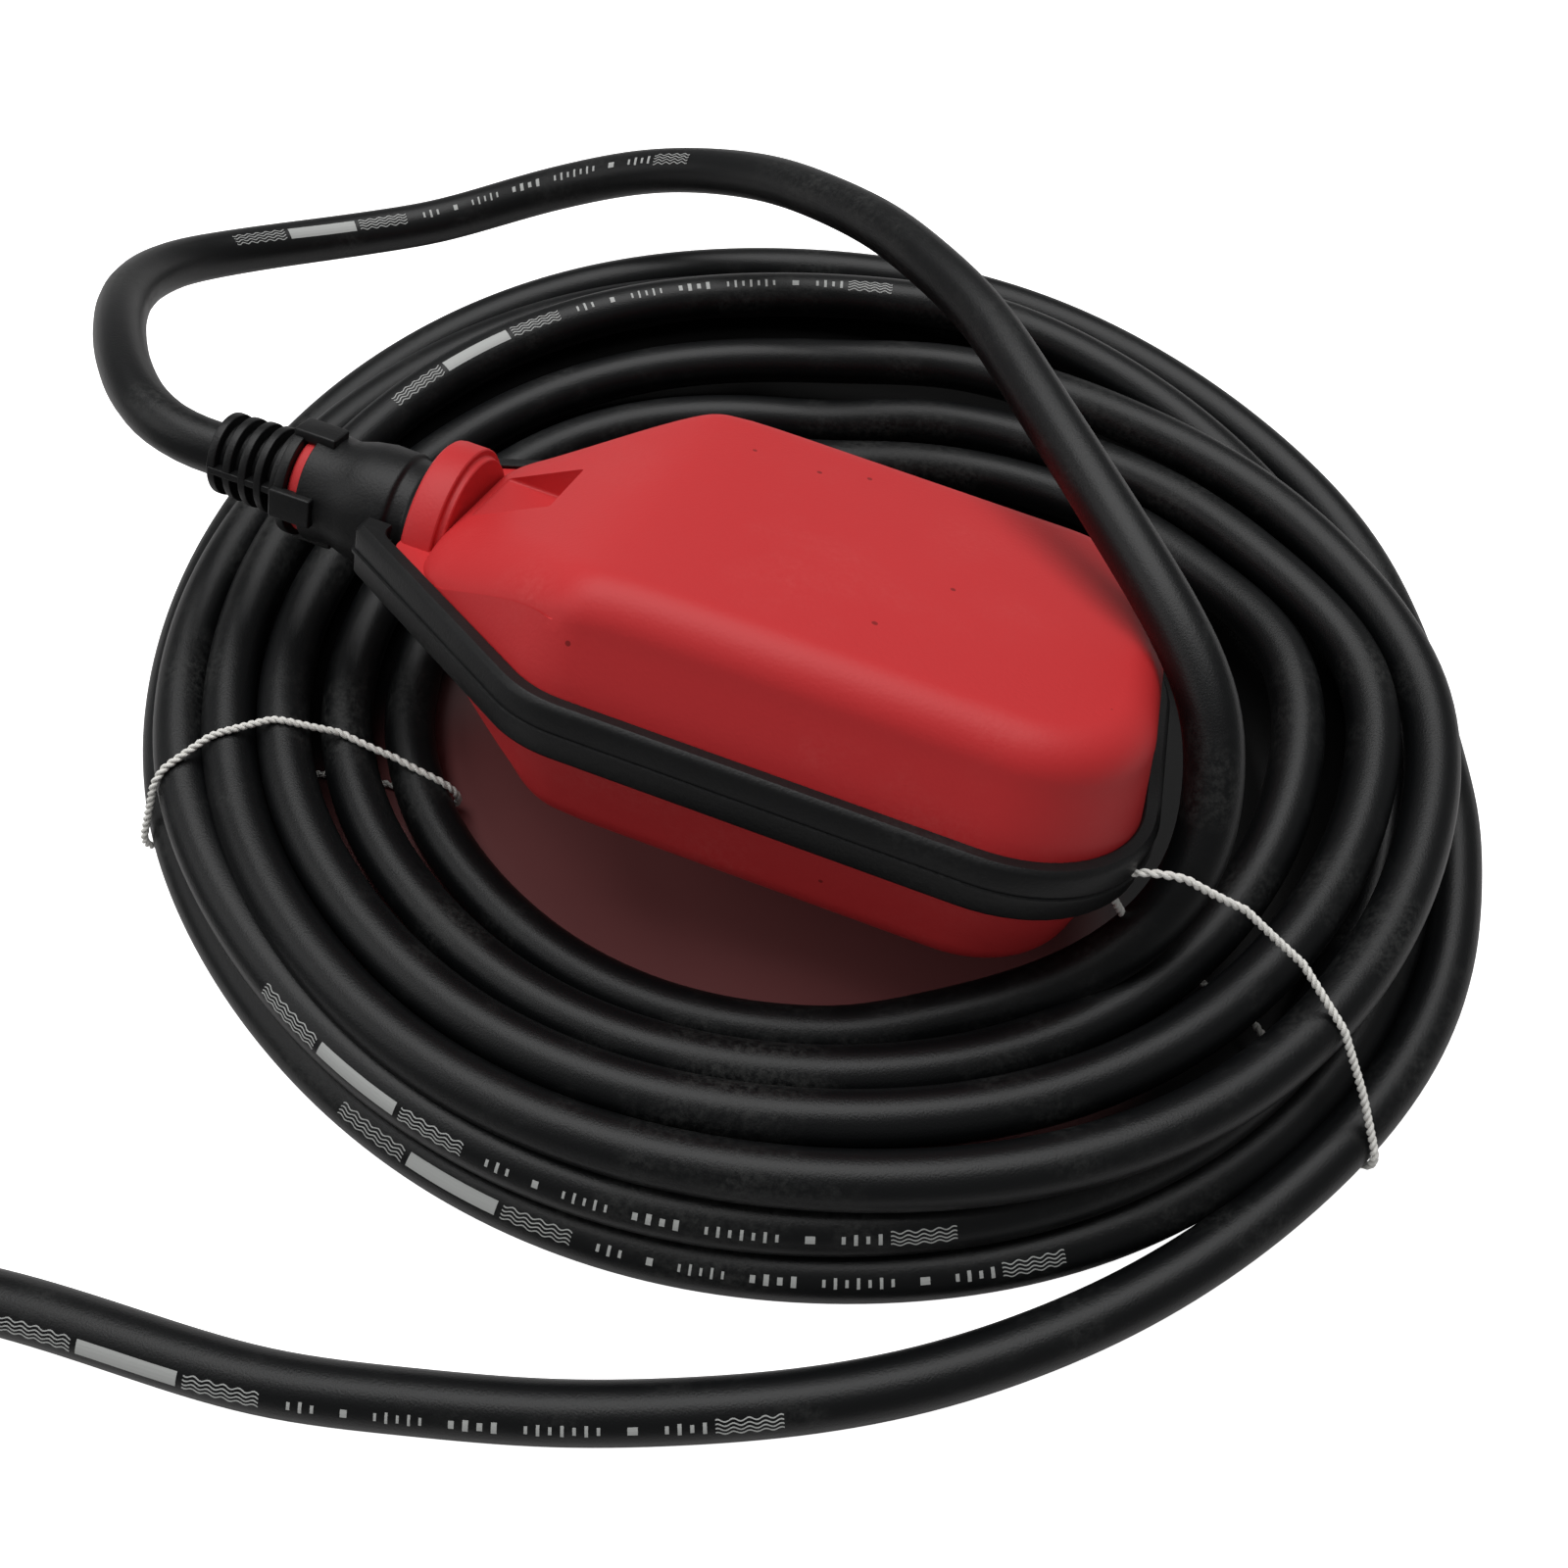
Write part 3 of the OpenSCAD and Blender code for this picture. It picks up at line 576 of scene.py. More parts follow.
neck_core = [
    (neck_x - 1, 0), (neck_x - 1, neck_r), (collar_x, neck_r), (collar_x, collar_r), (collar_end, collar_r),
    (collar_end, 0),
]
cut(overmould, turned(neck_core), "DIFFERENCE")
cut(overmould, block((rim_front - 2, collar_x), (-11, 11), (0.8, 8), 0.3), "DIFFERENCE")

tip_x, relief_r, head_r, ring_w, window_l, sleeve_r = -66.5, 5, 8.9, 1.6, 2.1, 9.9
rib_count, rib_pitch, rib_w, rib_r, rib_growth = 5, 2.7, 1.3, 6.6, 0.15
relief = [(tip_x, bore_r)]
for k in range(rib_count):
    x, r = tip_x + k * rib_pitch, rib_r + rib_growth * k
    relief += [(x, relief_r if k else r - 0.5), (x, r), (x + rib_w, r), (x + rib_w, relief_r)]
relief += [(neck_x - ring_w, relief_r), (neck_x - ring_w, head_r), (neck_x, head_r), (neck_x, bore_r)]
sleeve = [
    (neck_x + window_l, neck_r), (neck_x + window_l, head_r), (neck_x + 6.3, head_r - 0.4),
    (neck_x + 9.2, sleeve_r - 0.5), (neck_x + 12, sleeve_r), (collar_x - 5, sleeve_r),
    (collar_x - 4.4, sleeve_r - 0.7), (collar_x - 2, sleeve_r - 0.7), (collar_x - 1.4, sleeve_r - 0.2),
    (collar_x - 0.05, sleeve_r - 0.2), (collar_x - 0.05, neck_r),
]
cut(overmould, turned(eased(sleeve, 0.35)), "UNION")
cut(overmould, turned(eased(relief, 0.3)), "UNION")
lug_x, lug_w, lug_r = (neck_x - ring_w - 0.2, neck_x + 5), 4.8, 9.7
for k in range(4):
    points, faces = block(lug_x, (-lug_w / 2, lug_w / 2), (neck_r - 0.15, lug_r), 0.35)
    a = math.pi / 2 * k
    turn_k = np.array(((1, 0, 0), (0, math.cos(a), math.sin(a)), (0, -math.sin(a), math.cos(a))))
    cut(overmould, (points @ turn_k, faces), "UNION")
for side in (-1, 1):
    y = sorted((side * (relief_r - 0.3), side * (rib_r + 0.2)))
    cut(overmould, block((tip_x + 0.3, neck_x - 0.5), y, (-0.55, 0.55), 0.15), "UNION")
smoothed(overmould, 32)
finished(overmould, "root", "black_overmould", "overmould")

# %% [markdown]
# ## Twine
#
# The coil is held by white cotton twine: two strands laid round each other. At each tie the twine takes the
# shortest way round the turns of cable, as a tight string does, which is the convex hull of the cable's
# sections there. The path is found from the lead's own line, so the twine touches the cable wherever it
# should. Two thin tubes then wind round that path.

# %% Ties
twine_r, twist_pitch = 0.6, 2.4
ply_r, ply_off, twine_step, coil_hole_r = 0.35, 0.31, 0.32, 20


def crossings(centre, azimuth, reach):
    """Places (radius, height) where the lead crosses a half-plane through the coil's axis."""
    way = np.array((math.cos(azimuth), math.sin(azimuth)))
    flat = lead_line[:, :2] - np.array(centre)
    along, off = flat @ way, flat @ np.array((-way[1], way[0]))
    found = []
    height = lead_line[:, 2]
    for i in np.nonzero((off[:-1] * off[1:] <= 0) & (along[:-1] > coil_hole_r) & (along[:-1] < reach))[0]:
        t = off[i] / (off[i] - off[i + 1])
        found.append(tuple(v[i] + t * (v[i + 1] - v[i]) for v in (along, height)))
    return found


def hull(points):
    """Convex hull of points in a plane, anticlockwise."""
    points = sorted(set(map(tuple, np.round(points, 4).tolist())))
    halves = []
    for row in (points, points[::-1]):
        half = []
        for p in row:
            while len(half) > 1 and (half[-1][0] - half[-2][0]) * (p[1] - half[-2][1]) <= (
                half[-1][1] - half[-2][1]
            ) * (p[0] - half[-2][0]):
                half.pop()
            half.append(p)
        halves.append(half[:-1])
    return np.array(halves[0] + halves[1])


def twine(name, centre, azimuths, reach):
    """A tie round the coil: azimuths in degrees are those of its outer end, its middle and its inner end."""
    azimuth = math.radians(azimuths[1])
    round_cable = arc((0, 0), lead_r + twine_r, 0, 2 * math.pi, 41)[:-1]
    loop = hull(np.concatenate([round_cable + c for c in crossings(centre, azimuth, reach)]))
    loop[:, 1] = np.maximum(loop[:, 1], twine_r)
    step = np.linalg.norm(np.roll(loop, -1, axis=0) - loop, axis=1)
    s = np.r_[0, np.cumsum(step)]
    t = np.linspace(0, s[-1], int(s[-1] / twine_step), endpoint=False)
    closed = np.r_[loop, loop[:1]]
    r, z = (np.interp(t, s, closed[:, k]) for k in (0, 1))
    a = np.radians(np.interp((r.max() - r) / (r.max() - r.min()), [0, 0.15, 0.3, 0.5, 0.7, 0.85, 1], np.array(
        [azimuths[0] + (azimuths[1] - azimuths[0]) * t for t in (0, 0.5, 0.84, 1)]
        + [azimuths[1] + (azimuths[2] - azimuths[1]) * t for t in (0.16, 0.5, 1)])))
    line = np.c_[centre[0] + r * np.cos(a), centre[1] + r * np.sin(a), z]
    u, v = across(line, True)
    wraps = round(s[-1] / twist_pitch)
    plies = []
    for k in (0, 1):
        phase = (2 * math.pi * wraps * t / s[-1] + math.pi * k)[:, None]
        plies.append(tube(line + ply_off * (np.cos(phase) * u + np.sin(phase) * v), ply_r, 7, True))
    piece = smoothed(new_piece(name, *joined(plies)), 60)
    finished(piece, "root", "twine", name.replace("twine", "tie"))
    print("   ", len(crossings(centre, azimuth, reach)), "turns tied,", round(s[-1]), "mm of twine")


twine("twine_left", coil_at, (-158, -163, -151), 124)
twine("twine_right", coil_at, (-44.8, -42.3, -53), 124)
twine("twine_end", end_coil_at, (180, 181, 179), 60)

# %% [markdown]
# ## The bare end of the lead
#
# The lead ends in a second small coil outside the picture, ready to be wired: the jacket is cut back and
# its three cores fan out, brown, blue and green with yellow, each with a few millimetres of bare copper
# wire. Tubes with a painted tip would do from afar. Here each tip is a small bundle of seven thin wires.

# %% Stripped cores
core_r, core_out, bare_l, fan, copper_l = 1.2, 2.6, 22, math.radians(7), 6
core_high, core_low = 1.2, -0.8
wire_r, wire_ring = 0.2, 0.4
tail_way = unit(np.array(jacket_tail[1]) - np.array(jacket_tail[0]))
cores = {}
for k, colour in enumerate(("brown", "blue", "earth")):
    t = np.linspace(-0.1, 1, 34)
    x = bare_l * t
    side = (core_out + np.maximum(x, 0) * math.sin(fan)) * (k - 1)
    ease = np.clip(t, 0, 1) ** 2 * (3 - 2 * np.clip(t, 0, 1))
    z = (lead_r + (core_high if k == 1 else core_low)) * (1 - ease) + (core_r + 0.05) * ease
    line = np.c_[jacket_tail[1][0] + x * tail_way[0] - side * tail_way[1],
                 jacket_tail[1][1] + x * tail_way[1] + side * tail_way[0], z]
    covered = x <= bare_l - copper_l + 0.4
    wires = line[~covered | (np.arange(len(x)) >= covered.sum() - 2)]
    steps, known = np.linspace(0, 1, 30), np.linspace(0, 1, len(wires))
    fine = np.array([np.interp(steps, known, wires[:, i]) for i in range(3)]).T
    u, v = across(fine)
    strands = [tube(fine, wire_r, 6)]
    for j in range(6):
        phase = (math.pi / 3 * j + np.linspace(0, 3, len(fine)))[:, None]
        strands.append(tube(fine + wire_ring * (np.cos(phase) * u + np.sin(phase) * v), wire_r, 6))
    cores[colour] = (smoothed(new_piece("core_cover_" + colour, *tube(line[covered], core_r, 20)), 40),
                     smoothed(new_piece("copper_" + colour, *joined(strands)), 50))
    finished(cores[colour][0], "root", colour + "_insulation", "end_core_" + colour)
    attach(cores[colour][1], "root")

# %% [markdown]
# ## Marks along the lead
#
# The real lead is printed, over and over, with pale marks. None of its words are made here: in their place
# stand plain shapes with the same rhythm, which are wavy lines, a block and a row of short bars. An image
# would be the usual way. Thin strips of mesh that follow the cable keep the edges sharp from close up, and a
# strip is laid with two numbers: how far along the lead, and how far round it.

# %% Printed marks
lead_s = np.r_[0, np.cumsum(np.linalg.norm(np.diff(lead_line, axis=0), axis=1))]
lead_way = unit(np.gradient(lead_line, axis=0))
lead_up = unit(np.array((0, 0, 1)) - lead_way * lead_way[:, 2:])
lead_side = np.cross(lead_way, lead_up)
raised, sunk = 0.025, 0.05
print_scale, narrow = 1.5, 0.35
wave_l, wave_h, wave_gap, wave_half, wave_rows = 1.4, 0.2, 0.6, 0.09, 4
wave_runs, block_run, block_half = ((0, 8), (19, 26), (66, 72)), (8.6, 18.4), 1.1
bars_start, bar_gap, group_gap, bar_halves = 28.5, 0.75, 1.6, (0.55, 0.8)
bar_groups = ((3, 0.3), (1, 0.6), (5, 0.25), (4, 0.5), (7, 0.3), (1, 0.9), (4, 0.35))


def strip(s, off, half, turned_by):
    """A thin strip on the cable: places s along it, off across it, with half widths, in millimetres."""
    s, off, half = (np.broadcast_to(np.asarray(v, float), np.shape(s)) for v in (s, off, half))
    at, up, side = (np.array([np.interp(s, lead_s, v[:, i]) for i in range(3)]).T
                    for v in (lead_line, lead_up, lead_side))
    up, side = unit(up), unit(side)
    corners = []
    for sign, r in ((-1, lead_r - sunk), (-1, lead_r + raised), (1, lead_r + raised), (1, lead_r - sunk)):
        a = turned_by + (off + sign * half) / lead_r
        corners.append(at + r * (np.cos(a)[:, None] * up + np.sin(a)[:, None] * side))
    return skin([np.array(ring) for ring in zip(*corners)])


def marks(start, turned_by, reverse=False):
    """One run of marks, 110 mm long: waves, a block, waves, short bars and more waves."""
    parts = []
    way = -print_scale if reverse else print_scale

    def place(x):
        return start + way * np.asarray(x, float)

    def bar(x, half):
        """A bar across the print line, made of narrow strips so that it follows the round cable."""
        rows = math.ceil(half / narrow)
        wide = half / rows
        return [strip(place(x), wide * (2 * row + 1) - half, wide, turned_by) for row in range(rows)]

    for first, last in wave_runs:
        x = np.linspace(first, last, 33)
        for row in range(wave_rows):
            wave = wave_h * np.sin(x * 2 * math.pi / wave_l) + wave_gap * (row - (wave_rows - 1) / 2)
            parts.append(strip(place(x), wave, wave_half, turned_by))
    parts += bar(np.linspace(*block_run, 15), block_half)
    at = bars_start
    for count, wide in bar_groups:
        for k in range(count):
            parts += bar([at, at + wide / 2, at + wide], bar_halves[k % 2])
            at += wide + bar_gap
        at += group_gap
    return joined(parts)


def nearest(x, y, z):
    """Distance along the lead of its place nearest to a point."""
    return float(lead_s[np.argmin(np.linalg.norm(lead_line - np.array((x, y, z)), axis=1))])


printed = []
print_runs = [
    ((-86, -94, 4.3), -0.7, True), ((-46, -64, 4.3), -0.6, True), ((-59, -51, 14), -0.75, True),
    ((-62, 68, 12), 0.3, False), ((-102, 105, 17), 0.5, False),
]
for k, (near, turned_by, reverse) in enumerate(print_runs):
    piece = new_piece("marks_%d" % (k + 1), *marks(nearest(*near), turned_by, reverse))
    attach(piece, "root")
    printed.append(piece)
print(len(printed), "runs of marks")

# %% [markdown]
# ## Effects that several materials share
#
# Moulded plastic, rubber and cotton all have a fine grain, and all of them catch dust and small scuffs. Each
# effect is built once as a node group. A group puts out a mask or a height, and each material decides what
# to do with it, with its own scale and strength.

# %% Node groups
def new_group(name, inputs, outputs):
    group = bpy.data.node_groups.new(name, "ShaderNodeTree")
    for label, value in inputs.items():
        socket = group.interface.new_socket(label, in_out="INPUT", socket_type="NodeSocketFloat")
        socket.default_value = value
    for label in outputs:
        group.interface.new_socket(label, in_out="OUTPUT", socket_type="NodeSocketFloat")
    return group, group.nodes.new("NodeGroupInput"), group.nodes.new("NodeGroupOutput")


def node(tree, kind, **settings):
    """A new node; a setting named after one of its inputs sets that input, any other sets the node."""
    made = tree.nodes.new("ShaderNode" + kind)
    for key, value in settings.items():
        if hasattr(made, key):
            setattr(made, key, value)
        else:
            made.inputs[key.replace("_", " ")].default_value = value
    return made


def scaled_place(tree, scale_socket):
    """The place on the object in millimetres, times a scale."""
    place = node(tree, "TexCoord")
    big = node(tree, "VectorMath", operation="SCALE")
    factor = node(tree, "Math", operation="MULTIPLY")
    factor.inputs[1].default_value = 1000
    tree.links.new(scale_socket, factor.inputs[0])
    tree.links.new(place.outputs["Object"], big.inputs[0])
    tree.links.new(factor.outputs[0], big.inputs["Scale"])
    return big.outputs[0]


grain_group, gin, gout = new_group("grain", {"Scale": 1.0, "Coarse": 0.3}, ["Height"])
where = scaled_place(grain_group, gin.outputs["Scale"])
fine = node(grain_group, "TexNoise", Scale=2.2, Detail=3.0)
coarse = node(grain_group, "TexNoise", Scale=0.22, Detail=2.0)
mix = node(grain_group, "Mix", data_type="FLOAT")
grain_group.links.new(where, fine.inputs["Vector"])
grain_group.links.new(where, coarse.inputs["Vector"])
grain_group.links.new(gin.outputs["Coarse"], mix.inputs[0])
grain_group.links.new(fine.outputs[0], mix.inputs[2])
grain_group.links.new(coarse.outputs[0], mix.inputs[3])
grain_group.links.new(mix.outputs[0], gout.inputs["Height"])

scuff_group, gin, gout = new_group("scuffs", {"Scale": 1.0, "Spread": 0.5}, ["Mask"])
where = scaled_place(scuff_group, gin.outputs["Scale"])
patches = node(scuff_group, "TexNoise", Scale=0.045, Detail=3.0, Roughness=0.6)
streaks = node(scuff_group, "TexNoise", Scale=0.9, Detail=6.0, Roughness=0.75)
patch_cut = node(scuff_group, "MapRange")
patch_cut.inputs["From Min"].default_value = 0.5
patch_cut.inputs["From Max"].default_value = 0.68
streak_cut = node(scuff_group, "MapRange")
streak_cut.inputs["From Min"].default_value = 0.42
streak_cut.inputs["From Max"].default_value = 0.72
both = node(scuff_group, "Math", operation="MULTIPLY")
spread = node(scuff_group, "Math", operation="MULTIPLY", use_clamp=True)
scuff_group.links.new(where, patches.inputs["Vector"])
scuff_group.links.new(where, streaks.inputs["Vector"])
scuff_group.links.new(patches.outputs[0], patch_cut.inputs["Value"])
scuff_group.links.new(streaks.outputs[0], streak_cut.inputs["Value"])
scuff_group.links.new(patch_cut.outputs[0], both.inputs[0])
scuff_group.links.new(streak_cut.outputs[0], both.inputs[1])
scuff_group.links.new(both.outputs[0], spread.inputs[0])
scuff_group.links.new(gin.outputs["Spread"], spread.inputs[1])
scuff_group.links.new(spread.outputs[0], gout.inputs["Mask"])

speck_group, gin, gout = new_group("specks", {"Scale": 1.0, "Size": 0.06}, ["Mask"])
where = scaled_place(speck_group, gin.outputs["Scale"])
cells = node(speck_group, "TexVoronoi", Scale=0.12)
rare = node(speck_group, "Math", operation="LESS_THAN")
speck_group.links.new(where, cells.inputs["Vector"])
speck_group.links.new(cells.outputs["Distance"], rare.inputs[0])
speck_group.links.new(gin.outputs["Size"], rare.inputs[1])
speck_group.links.new(rare.outputs[0], gout.inputs["Mask"])
print(len(bpy.data.node_groups), "shared effects")

# %% [markdown]
# ## Materials
#
# Most of the object is dull black rubber and satin red plastic. One helper builds both kinds: a base
# colour that dust lightens, a roughness that dust raises, and a slight grain. Values that are the same all
# over a surface are typed into the shader itself.

# %% Surface materials
def surface(name, colour, rough, grain=0.0, grain_scale=1.0, dust=None, dust_colour=(0.2, 0.2, 0.2),
            dust_rough=0.8, metallic=0.0, specular=0.5, specks=None):
    """A material; dust is how much of it there is, and specks are the scale, size and colour of dots."""
    material = bpy.data.materials.new(name)
    material.use_nodes = True
    tree = material.node_tree
    shader = tree.nodes["Principled BSDF"]
    shader.inputs["Base Color"].default_value = (*colour, 1)
    shader.inputs["Roughness"].default_value = rough
    shader.inputs["Metallic"].default_value = metallic
    shader.inputs["Specular IOR Level"].default_value = specular
    colour_out = None
    if dust:
        scuffs = node(tree, "Group", node_tree=scuff_group)
        scuffs.inputs["Spread"].default_value = dust
        tint = node(tree, "Mix", data_type="RGBA")
        tint.inputs[6].default_value = (*colour, 1)
        tint.inputs[7].default_value = (*dust_colour, 1)
        tree.links.new(scuffs.outputs["Mask"], tint.inputs[0])
        colour_out = tint.outputs[2]
        rougher = node(tree, "MapRange")
        rougher.inputs["To Min"].default_value = rough
        rougher.inputs["To Max"].default_value = dust_rough
        tree.links.new(scuffs.outputs["Mask"], rougher.inputs["Value"])
        tree.links.new(rougher.outputs[0], shader.inputs["Roughness"])
    if specks:
        spots = node(tree, "Group", node_tree=speck_group)
        spots.inputs["Scale"].default_value = specks[0]
        spots.inputs["Size"].default_value = specks[1]
        spotted = node(tree, "Mix", data_type="RGBA")
        spotted.inputs[6].default_value = (*colour, 1)
        spotted.inputs[7].default_value = (*specks[2], 1)
        tree.links.new(spots.outputs["Mask"], spotted.inputs[0])
        if colour_out:
            tree.links.new(colour_out, spotted.inputs[6])
        colour_out = spotted.outputs[2]
    if colour_out:
        tree.links.new(colour_out, shader.inputs["Base Color"])
    if grain:
        texture = node(tree, "Group", node_tree=grain_group)
        texture.inputs["Scale"].default_value = grain_scale
        bump = node(tree, "Bump")
        bump.inputs["Strength"].default_value = grain
        bump.inputs["Distance"].default_value = 0.0002
        tree.links.new(texture.outputs["Height"], bump.inputs["Height"])
        tree.links.new(bump.outputs[0], shader.inputs["Normal"])
    return material


red_plastic = surface("red plastic", (0.54, 0.026, 0.029), 0.52, grain=0.25, grain_scale=0.8, dust=0.25,
                      dust_colour=(0.64, 0.12, 0.11), dust_rough=0.65, specular=0.32,
                      specks=(0.9, 0.05, (0.25, 0.01, 0.01)))
black_rubber = surface("black moulded rubber", (0.0045, 0.0047, 0.005), 0.45, grain=0.35, dust=0.35,
                       dust_colour=(0.03, 0.03, 0.03), specular=0.3)
jacket_rubber = surface("black cable jacket", (0.0032, 0.0036, 0.004), 0.4, grain=0.3, grain_scale=1.4,
                        dust=0.7, dust_colour=(0.045, 0.046, 0.044), dust_rough=0.7, specular=0.3)
cotton = surface("white cotton twine", (0.86, 0.85, 0.81), 0.9, grain=0.8, grain_scale=3.0)
ink = surface("pale ink", (0.42, 0.43, 0.42), 0.55)
brown_cover = surface("brown core cover", (0.09, 0.028, 0.012), 0.4, grain=0.15)
blue_cover = surface("blue core cover", (0.01, 0.07, 0.4), 0.4, grain=0.15)
copper = surface("bare copper wire", (0.72, 0.29, 0.13), 0.32, grain=0.1, metallic=1.0)
capsule_white = surface("pale inner plastic", (0.62, 0.62, 0.58), 0.42, grain=0.2)
switch_black = surface("black switch plastic", (0.02, 0.02, 0.022), 0.45, grain=0.25)
cover_grey = surface("grey switch cover", (0.16, 0.16, 0.17), 0.45, grain=0.2)
button_white = surface("white button plastic", (0.7, 0.7, 0.68), 0.35, grain=0.15)
bright_steel = surface("bright steel", (0.62, 0.62, 0.63), 0.16, grain=0.05, metallic=1.0)
spring_steel = surface("spring steel", (0.5, 0.5, 0.5), 0.3, grain=0.08, metallic=1.0)
screw_zinc = surface("zinc-plated screw", (0.66, 0.64, 0.58), 0.3, grain=0.1, metallic=1.0)
brass = surface("terminal brass", (0.72, 0.5, 0.2), 0.28, grain=0.1, metallic=1.0)

# %% [markdown]
# ## Green and yellow
#
# The earth core is green with yellow stripes along it. The two colours are split by a sine of the place
# across the core, so the stripe runs lengthwise.

# %% Earth core
earth_cover = bpy.data.materials.new("green and yellow core cover")
earth_cover.use_nodes = True
tree = earth_cover.node_tree
place = node(tree, "TexCoord")
turn_it = node(tree, "Mapping")
turn_it.inputs["Rotation"].default_value = (0, 0, -math.atan2(tail_way[1], tail_way[0]))
split = node(tree, "SeparateXYZ")
wave = node(tree, "Math", operation="SINE")
scale_it = node(tree, "Math", operation="MULTIPLY")
scale_it.inputs[1].default_value = 2 * math.pi / 0.0016
step = node(tree, "Math", operation="GREATER_THAN")
step.inputs[1].default_value = 0.1
two = node(tree, "Mix", data_type="RGBA")
two.inputs[6].default_value = (0.02, 0.2, 0.04, 1)
two.inputs[7].default_value = (0.7, 0.52, 0.03, 1)
tree.links.new(place.outputs["Object"], turn_it.inputs["Vector"])
tree.links.new(turn_it.outputs[0], split.inputs[0])
tree.links.new(split.outputs["Y"], scale_it.inputs[0])
tree.links.new(scale_it.outputs[0], wave.inputs[0])
tree.links.new(wave.outputs[0], step.inputs[0])
tree.links.new(step.outputs[0], two.inputs[0])
tree.links.new(two.outputs[2], tree.nodes["Principled BSDF"].inputs["Base Color"])
tree.nodes["Principled BSDF"].inputs["Roughness"].default_value = 0.4

# %% [markdown]
# ## Each piece and its material
#
# A list of pairs says which piece gets which material. The lead, the marks and the twine are pieces made
# above. The pieces inside the float come ready from the CAD model, and they get plain but true surfaces too:
# pale plastic, steel, brass and zinc.

# %% Give each piece its material
dressed = {
    upper: red_plastic, lower: red_plastic, overmould: black_rubber, lead: jacket_rubber,
    cores["brown"][0]: brown_cover, cores["blue"][0]: blue_cover, cores["earth"][0]: earth_cover,
}
dressed.update({pair[1]: copper for pair in cores.values()})
dressed.update({piece: ink for piece in printed})
dressed.update({bpy.data.objects["twine_" + k]: cotton for k in ("left", "right", "end")})
inner = {
    "capsule_base": capsule_white, "capsule_cover": capsule_white, "capsule_screws": screw_zinc,
    "steel_ball": bright_steel, "switch_lever": spring_steel, "lever_pin": bright_steel,
    "microswitch_case": switch_black, "microswitch_cover": cover_grey, "switch_button": button_white,
    "terminal_common": brass, "terminal_open": brass, "terminal_closed": brass, "wire_receptacles": brass,
    "core_brown": brown_cover, "core_blue": blue_cover, "core_earth": earth_cover, "cable_grip": spring_steel,
    "cable_tail": jacket_rubber,
}
for name, node_object in nodes.items():
    dressed[node_object] = inner.get(name, black_rubber)
for piece, material in dressed.items():
    piece.data.materials.clear()
    piece.data.materials.append(material)
print(len(dressed), "pieces have a material")

# %% [markdown]
# ## Floor and light
#
# The object lies on a smooth white table. Round the object the table is plain white. Inside the coil its
# colour is painted near-black, as painted shade, and under the float it is painted dark red, as a painted
# reflection of the float. The white comes from a faint glow that only the camera sees and that fades out
# inside the coil, so it adds no light to the object.
# A broad lamp above and behind the coil gives the strands their long soft highlights, and a weak one at the
# left lifts the shadows.

# %% Floor, world and lamps
scene.view_settings.view_transform = "Standard"
world = bpy.data.worlds.new("studio")
scene.world = world
world.use_nodes = True
sky = world.node_tree
ray = node(sky, "LightPath")
seen = node(sky, "Math", operation="MAXIMUM")
sky.links.new(ray.outputs["Is Camera Ray"], seen.inputs[0])
sky.links.new(ray.outputs["Is Transmission Ray"], seen.inputs[1])
strength = node(sky, "MapRange")
strength.inputs["To Min"].default_value = 0.17
strength.inputs["To Max"].default_value = 1.0
sky.links.new(seen.outputs[0], strength.inputs["Value"])
sky.links.new(strength.outputs["Result"], sky.nodes["Background"].inputs["Strength"])
sky.nodes["Background"].inputs["Color"].default_value = (1, 1, 1, 1)

floor_size = 3.0
# Radii from the coil's middle over which the glow and the painted shade of the floor fade.
glow_and_painted_shade_r = (0.103, 0.109)
# Place and radii of the painted red reflection of the float on the floor.
painted_reflection_at, painted_reflection_r = (0.0, -0.04, 0.0), (0.055, 0.078)
corners = [(floor_size * x, floor_size * y, 0) for x, y in ((-1, -1), (1, -1), (1, 1), (-1, 1))]
floor_mesh = bpy.data.meshes.new("floor")
floor_mesh.from_pydata(corners, [], [(0, 1, 2, 3)])
floor = bpy.data.objects.new("floor", floor_mesh)
scene.collection.objects.link(floor)

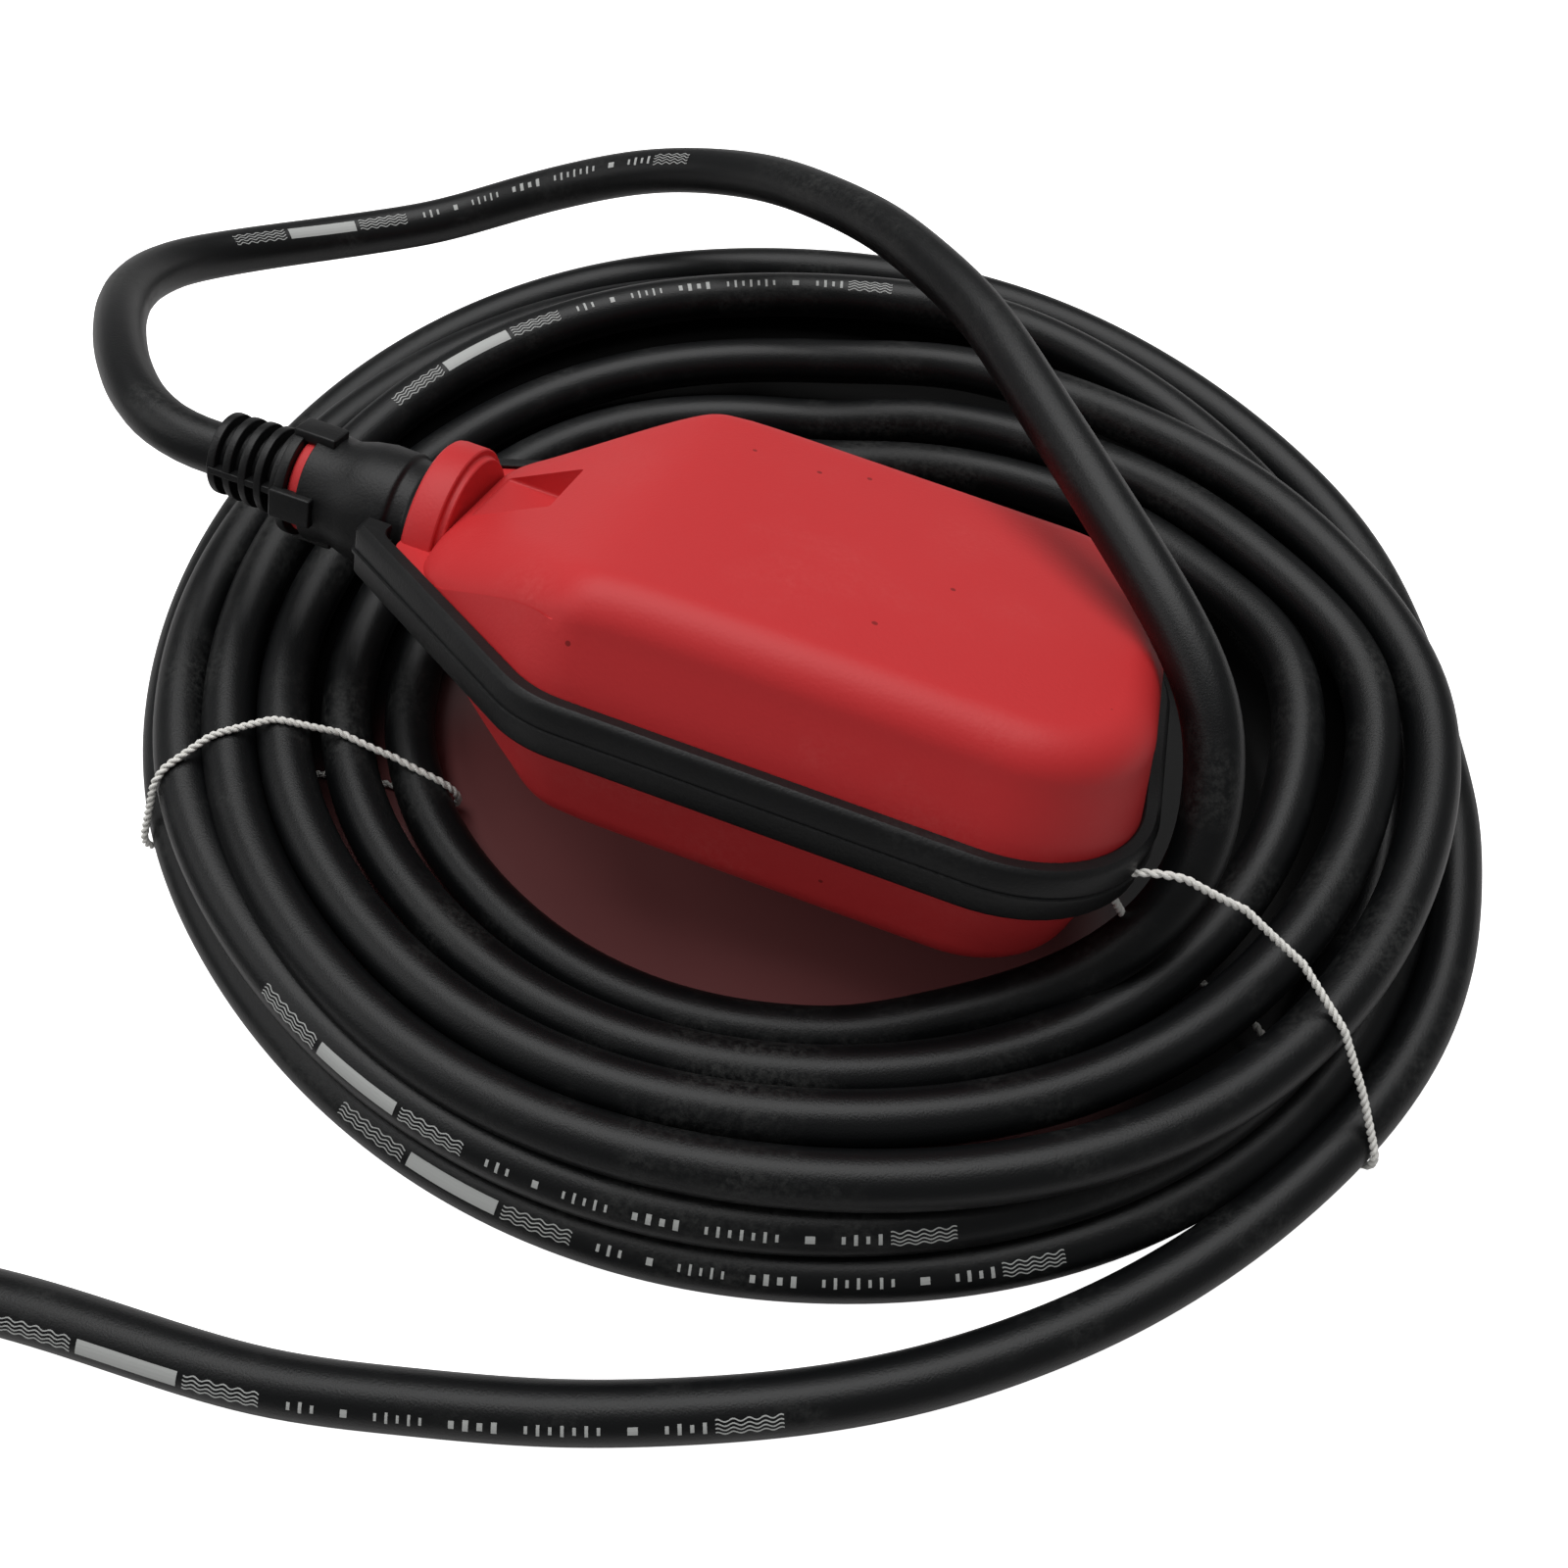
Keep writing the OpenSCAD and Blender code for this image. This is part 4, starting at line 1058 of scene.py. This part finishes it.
floor_white = bpy.data.materials.new("white table with painted shade")
floor_white.use_nodes = True
tree = floor_white.node_tree
shader = tree.nodes["Principled BSDF"]
shader.inputs["Roughness"].default_value = 0.3
shader.inputs["Specular IOR Level"].default_value = 0.06
shader.inputs["Emission Color"].default_value = (1, 1, 1, 1)
place = node(tree, "TexCoord")
away = node(tree, "VectorMath", operation="DISTANCE")
away.inputs[1].default_value = (coil_at.x * mm, coil_at.y * mm, 0)
fade = node(tree, "MapRange", interpolation_type="SMOOTHSTEP")
fade.inputs["From Min"].default_value, fade.inputs["From Max"].default_value = glow_and_painted_shade_r
ray = node(tree, "LightPath")
glow = node(tree, "Math", operation="MULTIPLY")
tree.links.new(place.outputs["Object"], away.inputs[0])
tree.links.new(away.outputs["Value"], fade.inputs["Value"])
tree.links.new(fade.outputs[0], glow.inputs[0])
tree.links.new(ray.outputs["Is Camera Ray"], glow.inputs[1])
tree.links.new(glow.outputs[0], shader.inputs["Emission Strength"])
under = node(tree, "VectorMath", operation="DISTANCE")
under.inputs[1].default_value = painted_reflection_at
near = node(tree, "MapRange", interpolation_type="SMOOTHSTEP")
near.inputs["From Min"].default_value, near.inputs["From Max"].default_value = painted_reflection_r
# Painted shade: a near-black floor colour inside the coil, turning dark red under the float as a painted
# reflection.
painted_shade_and_reflection = node(tree, "Mix", data_type="RGBA")
painted_shade_and_reflection.inputs[6].default_value = (0.25, 0.085, 0.085, 1)
painted_shade_and_reflection.inputs[7].default_value = (0.008, 0.008, 0.008, 1)
tree.links.new(place.outputs["Object"], under.inputs[0])
tree.links.new(under.outputs["Value"], near.inputs["Value"])
tree.links.new(near.outputs[0], painted_shade_and_reflection.inputs[0])
# Inside the coil the painted shade takes the place of the table's white.
shade = node(tree, "Mix", data_type="RGBA")
tree.links.new(painted_shade_and_reflection.outputs[2], shade.inputs[6])
shade.inputs[7].default_value = (0.8, 0.79, 0.79, 1)
tree.links.new(fade.outputs[0], shade.inputs[0])
tree.links.new(shade.outputs[2], shader.inputs["Base Color"])
floor.data.materials.append(floor_white)


def lamp(name, at, size, power, aim=(0.0, 0.0, 0.02)):
    data = bpy.data.lights.new(name, "AREA")
    data.shape = "RECTANGLE"
    data.size, data.size_y = size
    data.energy = power
    made = bpy.data.objects.new(name, data)
    facing = (Vector(aim) - Vector(at)).to_track_quat("-Z", "Y").to_matrix().to_4x4()
    made.matrix_world = Matrix.Translation(at) @ facing
    scene.collection.objects.link(made)


lamp("top", (-0.05, 0.3, 0.93), (1.0, 0.8), 9.2)
lamp("side", (-0.8, -0.1, 0.6), (0.6, 0.6), 1.6)

# %% [markdown]
# ## Pieces on the lead
#
# A list names the pieces that lie on the lead: the runs of marks, the three ties of twine, and the stripped
# cores with their copper.

# %% Cord
on_lead = [p.name for p in printed] + ["twine_left", "twine_right", "twine_end"]
on_lead += [piece.name for pair in cores.values() for piece in pair]
